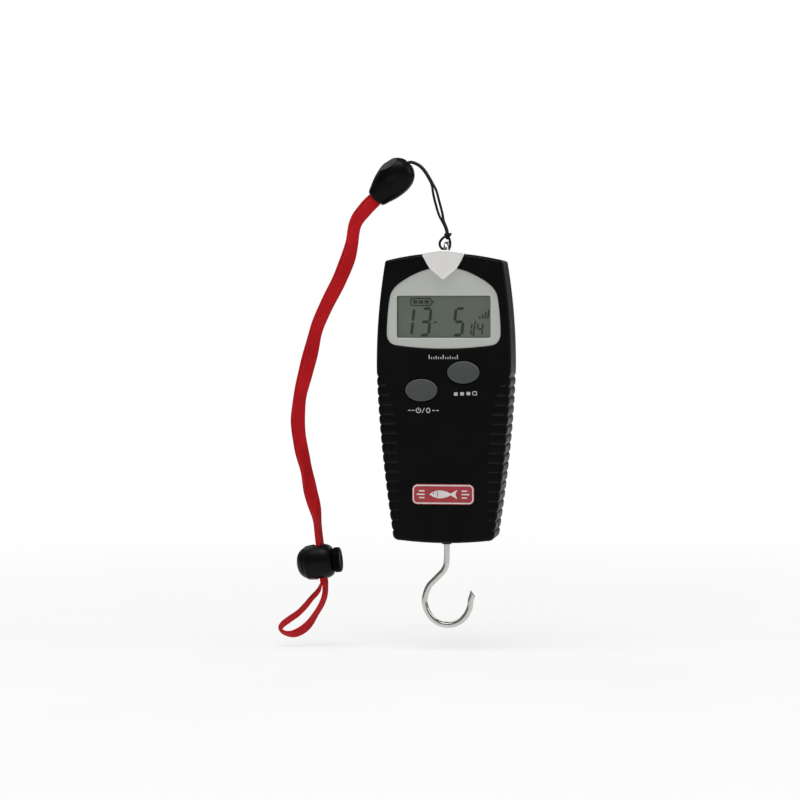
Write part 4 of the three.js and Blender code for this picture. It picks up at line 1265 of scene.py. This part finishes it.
# ------------------------------------------------------------------ connector

CONNECTOR_AT = Vector((-24.5, AXIS_Y, 97.2))
CONNECTOR_TURN = 0.75
CONNECTOR_PLACE = Matrix.Translation(CONNECTOR_AT) @ Matrix.Rotation(CONNECTOR_TURN, 4, "Y")


def drop_body(name, skin, sides):
    """The drop-shaped body about its long axis, shrunk by skin for the hollow, with a thumb dimple."""
    shorter = 1 - skin / 12
    knots = [(0.02, -12), (2.4, -11.9), (3.9, -11.4), (4.75, -10.4), (5.5, -8.4), (6.9, -4.6), (7.8, -0.4),
             (7.95, 2.6), (7.5, 5.4), (6.2, 7.9), (4.2, 9.7), (2.3, 10.6), (0.02, 10.9)]
    profile = smooth_profile([(max(0.02, r - skin), h * shorter) for r, h in knots], 7)
    flat = 0.72
    a = np.linspace(0, 2 * math.pi, sides, endpoint=False)
    rings = []
    for r, h in profile:
        if r < 0.1:
            rings.append([CONNECTOR_PLACE @ Vector((0, 0, h))])
            continue
        x, y = r * np.cos(a), flat * r * np.sin(a)
        dent = 0 if skin else 0.6 * np.exp(-((x - 0.6) / 2.6) ** 2 - ((h + 0.5) / 3.6) ** 2)
        y = y - np.sign(np.sin(a)) * dent * np.abs(np.sin(a)) ** 0.5
        rings.append([CONNECTOR_PLACE @ Vector((px, py, h)) for px, py in zip(x, y)])
    return from_rings(name, rings)


def placed_block(place, *sizes, edge=0.0):
    """A block built about the origin, then moved by place."""
    piece = block("tool", *sizes, edge=edge)
    piece.data.transform(Matrix.Scale(MM, 4) @ place @ Matrix.Scale(1 / MM, 4))
    return piece


def connector():
    """Two hollow halves with a facet each, a mouth for the cord and a slot for the strap."""
    for side, name, node in ((-1, "connector_front", "connector_front_half"),
                             (1, "connector_back", "connector_rear_half")):
        half = drop_body(name, 0, 96)
        facet = CONNECTOR_PLACE @ Matrix.Rotation(-side * 0.62, 4, "Z") @ Matrix.Rotation(0.22, 4, "Y")
        near, far = sorted((side * 0.12, side * 12))
        cut(half, placed_block(facet, -30, -7.0, -20, 20, -20, 20))
        cut(half, drop_body("hollow", 1.6, 48),
            turned("mouth", [(0, 7), (1.7, 7), (1.8, 10), (2.1, 13), (0, 13)], CONNECTOR_PLACE, 40),
            placed_block(CONNECTOR_PLACE, -3.7, 3.7, -1.8, 1.8, -14, -7, edge=0.4))
        combine(half, [placed_block(CONNECTOR_PLACE, -20, 20, near, far, -20, 20)], "INTERSECT")
        finish_piece(smooth(half, 28), "connector", "connector_plastic", node, material=CONNECTOR_PLASTIC)


# ------------------------------------------------------------------ strap

LOCK_AT = Vector((-59.9, AXIS_Y, -74.6))
LOCK_TILT = -0.117
LOCK_PLACE = Matrix.Translation(LOCK_AT) @ Matrix.Rotation(LOCK_TILT, 4, "Y")
STRAP_X = 2.7  # where the strap crosses the cord lock, along the lock's own axis
RIBBON = {"width": 5.4, "thick": 1.05}


def in_lock(x, z):
    point = LOCK_PLACE @ Vector((x, 0, z))
    return point.x, point.z


def soft_step(value, start, end):
    t = np.clip((value - start) / (end - start), 0, 1)
    return t * t * (3 - 2 * t)


def ribbon_section(width, thick):
    """Half of the points lie on each face; the selvedges are a little thicker than the middle."""
    across = np.array([-1, -0.93, -0.8, -0.5, 0, 0.5, 0.8, 0.93, 1]) * width / 2
    height = np.array([0.15, 0.46, 0.5, 0.42, 0.4, 0.42, 0.5, 0.46, 0.15]) * thick
    top = np.stack([across, height], 1)
    return np.concatenate([top, (top * [1, -1])[::-1]])


SPINE = [  # middle of the two layers, from the connector down to the cord lock
    (-26.8, 94.6), (-28.9, 92.5), (-32.3, 88.9), (-36.9, 84.2), (-41.3, 78.2), (-43.2, 68.0), (-47, 56.5),
    (-57.5, 34.7), (-62.7, 16.7), (-67.2, -3.2), (-67.2, -17), (-63.2, -37.4),
    *(in_lock(STRAP_X, z) for z in (22.5, 11, 0, -10))]
END_LOOP = [
    (-55.4, -89.1), (-56.9, -93.6), (-59.6, -98.1), (-63.0, -103.0), (-66.5, -105.9), (-70.3, -107.4),
    (-74.0, -106.9), (-75.9, -105.1), (-74.8, -103.1), (-71.5, -100.6), (-67.7, -97.9), (-64.4, -94.6),
    (-61.3, -90.8), (-58.4, -87.6)]
UPRIGHT = math.radians(79)  # turn of the ribbon about its length in the cord lock
DEPTH = np.array([0, 1.0, 0])


def beside(directions):
    """The direction in the plane of the load line that is square to each tangent."""
    return np.stack([-directions[:, 2], np.zeros(len(directions)), directions[:, 0]], 1)


def strap():
    """One flat ribbon: down the front, through the cord lock, round the loop and back up behind."""
    spine, length = in_plane(SPINE, 1.1)
    normal = beside(tangents(spine))
    left = length[-1] - length
    fold = soft_step(length, length[-1] - 44, length[-1] - 26)
    loose = (1 - soft_step(length, length[-1] - 60, length[-1] - 40)) * soft_step(length, 6, 22)
    rng = np.random.default_rng(SEED)
    waves = [(rng.uniform(26, 48), rng.uniform(0, 6.28)) for _ in range(4)]
    sway = sum(np.sin(2 * math.pi * length / span + phase) for span, phase in waves) / 3 * loose
    aside = (0.65 + 0.4 * sway) * (1 - fold) + 0.92 * fold
    apart = (0.8 + 0.22 * sway) * (1 - fold)
    shift = normal * aside[:, None] - DEPTH * apart[:, None]
    front, rear = spine + shift, spine - shift
    turn = fold * UPRIGHT + 0.26 * sway + 0.65 * np.exp(-((51 - left) / 9) ** 2)
    loop, loop_at = in_plane([front[-1][[0, 2]], *END_LOOP, rear[-1][[0, 2]]], 0.8)
    share = loop_at / loop_at[-1]
    loop_turn = UPRIGHT - 0.1 * np.sin(math.pi * share) - 0.4 * np.exp(-((share - 0.39) / 0.11) ** 2)
    loop_turn -= 0.15 * soft_step(share, 0.5, 0.62) * (1 - soft_step(share, 0.93, 1))
    path = np.concatenate([front[:-1], loop, rear[::-1][1:]])
    normals = np.concatenate([normal[:-1], beside(tangents(loop)), -normal[::-1][1:]])
    turns = np.concatenate([turn[:-1], loop_turn, turn[::-1][1:]])
    sides = normals * np.cos(turns)[:, None] + DEPTH * np.sin(turns)[:, None]
    along = tangents(path)
    sides = unit(sides - along * np.sum(sides * along, axis=1)[:, None])
    section = ribbon_section(RIBBON["width"], RIBBON["thick"])
    step = np.arange(len(path))
    slack = 1 + 0.05 * np.sin(step * 0.35) * np.sin(step * 0.11)
    piece = sweep("lanyard_strap", path, [section * [k, 1] for k in slack], sides, np.cross(along, sides))
    lay_uv(piece, len(section), lengths(path), section[:, 0])
    piece.data.materials.append(webbing("woven_strap", RIBBON["width"]))
    smooth(piece, 60, weighted=False)
    start, end = (spine_near(spine, BEND, offset) for offset in (-13, 13))
    finish_blend(piece, ("connector", "strap_tail"), start, end, "strap", "strap_upper", "strap_lower")


def spine_near(spine, point, offset):
    """The point offset millimetres along the strap's direction at its bend."""
    nearest = int(np.argmin(np.linalg.norm(spine - np.asarray(point), axis=1)))
    return np.asarray(point) + tangents(spine)[nearest] * offset


# ------------------------------------------------------------------ cord lock

BARREL = LOCK_PLACE @ Matrix.Rotation(math.pi / 2, 4, "Y")


def cord_lock():
    """A barrel shut at one end, with a plunger in it, both crossed by the hole for the strap."""
    end = [(0, -8.1), (2.4, -7.95), (4.5, -7.2), (6.0, -5.9), (6.75, -4.75)]
    rim = [(7.0, -4.3), (7.15, -4.05), (7.55, -3.6)]
    side = [(7.85, -1.6), (8.0, 1.0), (7.95, 3.6), (7.7, 5.4), (7.2, 6.8), (6.75, 7.6), (6.35, 8.0), (0, 8.0)]
    profile = np.concatenate([smooth_profile(end, 6), rim, smooth_profile(side[:-1], 6), side[-1:]])
    body = turned("cord_lock_barrel", [tuple(p) for p in profile], BARREL, 96)
    cut(body, turned("bore", [(0, -6.4), (4.4, -6.4), (5.95, -4.5), (5.95, 9), (0, 9)], BARREL, 64))
    cut(body, placed_block(LOCK_PLACE, STRAP_X - 2.3, STRAP_X + 2.3, -3.1, 3.1, -12, 12))
    finish_piece(smooth(body, 32), "cord_lock", "connector_plastic", "cord_lock_body", material=LOCK_PLASTIC)

    profile = [(0, -1), (5.4, -1), (5.65, -0.75), (5.65, 8.05), (4.9, 8.3), (4.9, 8.8), (5.45, 9.0),
               (5.65, 9.25), (5.65, 11.2), (5.5, 11.65), (5.1, 11.93), (4.6, 12.0), (3.8, 11.75), (0, 11.6)]
    plunger = turned("cord_lock_button", profile, BARREL, 80)
    cut(plunger, placed_block(LOCK_PLACE, STRAP_X - 2.2, STRAP_X + 4.7, -3.1, 3.1, -12, 12))
    finish_piece(smooth(plunger, 32), "lock_plunger", "connector_plastic", "cord_lock_plunger",
                 material=PLUNGER_PLASTIC)


def lock_spring():
    """A coil between the barrel's floor and the plunger."""
    share = np.linspace(0, 1, 150)
    turn = 2 * math.pi * 3.25 * share
    path = [LOCK_PLACE @ Vector(point) for point in
            np.stack([-5.85 + 4.2 * share, 3.6 * np.cos(turn), 3.6 * np.sin(turn)], 1)]
    coil = tube("cord_lock_coil", np.array(path), 0.3, 10)
    coil.data.materials.append(STEEL)
    smooth(coil, 60)
    start, end = LOCK_PLACE @ Vector((-5.6, 0, 0)), LOCK_PLACE @ Vector((-1.8, 0, 0))
    finish_blend(coil, ("cord_lock", "lock_plunger"), start, end, "stainless", "cord_lock_spring")


# ------------------------------------------------------------------ back: door, screws, cells

def battery_door():
    """A flush panel with a hinge barrel and stubs, grip ridges, and a raised arrow at the finger notch."""
    x, high = DOOR_HALF, DOOR_HIGH[2]
    hinge_y, hinge_z = HINGE[1:]
    barrel = 0.85
    front, back = DOOR_LOW[1], hinge_y + barrel
    panel = plate("battery_cover", -x, x, hinge_z, high, 0.6, hinge_y - barrel, back, front_edge=0.3)
    join(panel, rod("barrel", (-x, hinge_y, hinge_z), (x, hinge_y, hinge_z), barrel, 32),
         rod("stub", (-x - 1, hinge_y, hinge_z), (x + 1, hinge_y, hinge_z), 0.5, 24),
         block("lip", -4, 4, front, hinge_y, high - 2.8, high - 1.8, 0.15))
    for i in range(6):
        z, reach = high - 4.5 - 1.5 * i, 7.5 - 0.5 * i
        join(panel, rod("ridge", (-reach, back - 0.1, z), (reach, back - 0.1, z), 0.42, 16, edge=0.3))
    foot = high - 19.5
    join(panel, slab("arrow", [(-2.6, foot), (2.6, foot), (0, high - 15.3)], back - 0.3, back + 0.22,
                     front_edge=0.12, steps=2))
    finish_piece(smooth(panel), "door", "shell", "battery_door", material=SHELL)


SCREW = {"head_y": -1.8, "tip_y": -20, "head_r": 2.5, "shank_r": 1.2, "thick": 1.9}


def cross_screw(node, name, head_y, tip_y, head_r, shank_r, thick):
    """A pan-head self-tapping screw along Y, with a cross recess and a coarse thread."""
    x, z = centre_mm(node)
    away = math.copysign(1, head_y - tip_y)
    place = Matrix.Translation((x, head_y, z)) @ Matrix.Rotation(-away * math.pi / 2, 4, "X")
    profile = [(0, 0), (head_r * 0.55, -0.08), (head_r * 0.85, -0.35), (head_r, -0.8), (head_r, -thick),
               (shank_r, -thick)]
    length = abs(head_y - tip_y)
    pitch = 1.0
    turns = int((length - thick - 1.2) / pitch)
    for i in range(turns):
        h = -thick - 0.3 - pitch * i
        profile += [(shank_r * 0.8, h), (shank_r, h - 0.38), (shank_r * 0.8, h - 0.76)]
    profile += [(shank_r * 0.75, -length + 0.7), (0, -length)]
    screw = turned(name, profile, place, 40)
    slots = [placed_block(place @ Matrix.Rotation(turn, 4, "Z"), -1.25, 1.25, -0.27, 0.27, -1.0, 1.0)
             for turn in (0.4, 0.4 + math.pi / 2)]
    cut(screw, *slots)
    finish_piece(smooth(screw, 35), "housing", "zinc", node, material=ZINC)


def battery(node, name, nub_up):
    """A cell with a printed sleeve, a crimped shoulder and a bright end cap."""
    low, high = box_mm(node)
    x, y = (low[0] + high[0]) / 2, (low[1] + high[1]) / 2
    r, length = (high[0] - low[0]) / 2, high[2] - low[2]
    sleeve = [(0, 0), (3.4, 0), (3.6, 0.15), (r - 0.55, 0.15), (r - 0.15, 0.35), (r, 0.8), (r, length - 2.0),
              (r - 0.12, length - 1.55), (r - 0.6, length - 1.25), (3.3, length - 1.2), (3.1, length - 1.0),
              (1.95, length - 1.0), (1.9, length - 0.2), (1.7, length), (0, length)]
    place = Matrix.Translation((x, y, low[2]))
    if not nub_up:
        place = Matrix.Translation((x, y, high[2])) @ Matrix.Rotation(math.pi, 4, "X")
    cell = turned(name, sleeve, place, 64)
    cell.data.materials.append(CELL_WRAP)
    cell.data.materials.append(NICKEL)
    for face in cell.data.polygons:
        centre = face.center / MM
        if math.hypot(centre.x - x, centre.y - y) < r - 0.7:
            face.material_index = 1
    finish_piece(smooth(cell, 35), "housing", "battery_label", node)


def contact(node, name, coil=None, upward=True):
    """A sprung strip of plate at the lower or upper end of its place, with an optional tapered coil."""
    low, high = box_mm(node)
    y0, y1, thick = low[1], high[1], 0.4
    z0 = low[2] if upward else high[2] - thick
    strip = block(name, low[0], high[0], y0, y1, z0, z0 + thick, edge=0.08)
    if coil is not None:
        t = np.linspace(0, 1, 120)
        radius = 3.6 - 1.4 * t
        angle = 2 * math.pi * 2.5 * t
        rise = (thick if upward else 0) + (1 if upward else -1) * 3.2 * t
        path = np.stack([coil + radius * np.cos(angle), (y0 + y1) / 2 + radius * np.sin(angle), z0 + rise], 1)
        join(strip, tube("coil", path, 0.3, 12))
    finish_piece(smooth(strip, 40), "housing", "nickel", node, material=NICKEL)


hook()
hanging_eye()
cord()
connector()
strap()
cord_lock()
lock_spring()
battery_door()
for index in (1, 2, 3, 4):
    cross_screw(f"case_screw_{index}", f"case_screw_pan_{index}", **SCREW)
battery("battery_1", "cell_1", True)
battery("battery_2", "cell_2", False)
contact("contact_negative", "spring_contact", centre_mm("battery_1")[0])
contact("contact_positive", "plate_contact")
contact("contact_bridge", "bridge_contact", centre_mm("battery_2")[0], upward=False)

# ------------------------------------------------------------------ inner parts that stay as packed

INNER_LOOKS = {
    WHITE_PLASTIC: ["lcd_frame"], DARK_RUBBER: ["zebra_strip"], BOARD: ["main_board"], POTTING: ["chip_blob"],
    ALUMINIUM: ["load_cell"], FOIL: ["strain_gauge"], CABLE_JACKET: ["signal_cable"],
    ZINC: ["power_switch", "memory_switch", "board_screw_1", "board_screw_2", "load_cell_screw_1",
           "load_cell_screw_2", "cord_crimp"]}

for look, nodes in INNER_LOOKS.items():
    for node in nodes:
        mesh = frame["nodes"][node].data
        mesh.materials.clear()
        mesh.materials.append(look)

# ------------------------------------------------------------------ floor, light and camera


def glow_floor(name):
    """Pale matt floor that brightens into the backdrop with distance."""
    look = Look(name, (0.86, 0.86, 0.85), 0.9, specular=0.1)
    x, y, _ = look.parts(look.at)
    reach = look.math("SQRT", look.math("ADD", look.times(x, x), look.times(y, y)))
    look.set(base_color=look.mottle((0.86, 0.86, 0.85), (0.89, 0.89, 0.88), 40, 3))
    look.bump(look.noise(1.5, 3), 0.02, 0.3)
    glow = look.node("Emission", {"Strength": 1.0})
    fade = look.spread(reach, 0.72, 1.0, 0.1, 0.6)
    blend = look.node("MixShader", {0: fade, 1: look.shader.outputs[0], 2: glow.outputs[0]})
    look.surface(blend.outputs[0])
    return look.material


def make_floor():
    """A round, flat floor 4 mm below the lowest point of the object."""
    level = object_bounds()[0].z / MM - 4
    angles = np.linspace(0, 2 * math.pi, 96, endpoint=False)
    rings = [[(radius * math.cos(a), radius * math.sin(a), level) for a in angles]
             for radius in (4000, 1500, 600, 250, 80)]
    floor = from_rings("studio_floor", [*rings, [(0, 0, level)]], cap=False)
    floor.data.materials.append(glow_floor("studio_floor"))


LIGHTS = [  # name, place, target, size, watts, and whether reflections show it
    ("overhead", (-0.05, -0.25, 0.75), (0, 0, 0), (0.6, 0.35), 4.0, True),
    ("right_strip", (0.72, -0.12, 0.42), (0, 0, 0.03), (0.25, 0.6), 1.7, True),
    ("upper_left", (-0.6, 0.55, 0.7), (-0.02, 0, 0.05), (0.5, 0.5), 1.7, True),
    ("front_fill", (-0.3, -1.3, 0.5), (-0.02, 0, 0), (0.8, 0.8), 3.8, False),
    ("left_fill", (-0.8, -0.5, 0.2), (-0.03, 0, 0), (0.5, 0.8), 0.8, False),
    ("rear_fill", (0.4, 1.0, 0.6), (0, 0, 0.03), (0.6, 0.6), 2.2, True)]


def area_light(name, at, aim, size, power, glossy):
    data = bpy.data.lights.new(name, "AREA")
    data.shape = "RECTANGLE"
    data.size, data.size_y = size
    data.energy = power
    light = bpy.data.objects.new(name, data)
    light.location = at
    light.rotation_euler = (Vector(aim) - Vector(at)).to_track_quat("-Z", "Y").to_euler()
    light.visible_camera = False
    light.visible_glossy = glossy
    bpy.context.scene.collection.objects.link(light)


def make_world():
    """White backdrop for the camera and a dimmer, even surround for the object."""
    world = bpy.data.worlds.new("studio")
    bpy.context.scene.world = world
    world.use_nodes = True
    nodes, links = world.node_tree.nodes, world.node_tree.links
    seen = nodes["Background"]
    seen.inputs["Color"].default_value = (1, 1, 1, 1)
    surround = nodes.new("ShaderNodeBackground")
    surround.inputs["Color"].default_value = (1, 1, 1, 1)
    surround.inputs["Strength"].default_value = SURROUND
    blend, path = nodes.new("ShaderNodeMixShader"), nodes.new("ShaderNodeLightPath")
    links.new(path.outputs["Is Camera Ray"], blend.inputs[0])
    links.new(surround.outputs[0], blend.inputs[1])
    links.new(seen.outputs[0], blend.inputs[2])
    links.new(blend.outputs[0], nodes["World Output"].inputs["Surface"])


SURROUND = 0.16
AIM = Vector((-0.0208, -0.0155, -0.0011))
DISTANCE = 1.194
AZIMUTH, ELEVATION = math.radians(8), math.radians(2)


def make_camera():
    back = Vector((math.sin(AZIMUTH) * math.cos(ELEVATION), -math.cos(AZIMUTH) * math.cos(ELEVATION),
                   math.sin(ELEVATION)))
    data = bpy.data.cameras.new("camera")
    data.lens, data.sensor_width = 120, 36
    camera = bpy.data.objects.new("camera", data)
    camera.location = AIM + back * DISTANCE
    camera.rotation_euler = (-back).to_track_quat("-Z", "Y").to_euler()
    bpy.context.scene.collection.objects.link(camera)
    bpy.context.scene.camera = camera


make_world()
make_floor()
for light in LIGHTS:
    area_light(*light)
make_camera()
bpy.context.scene.view_settings.view_transform = "Standard"
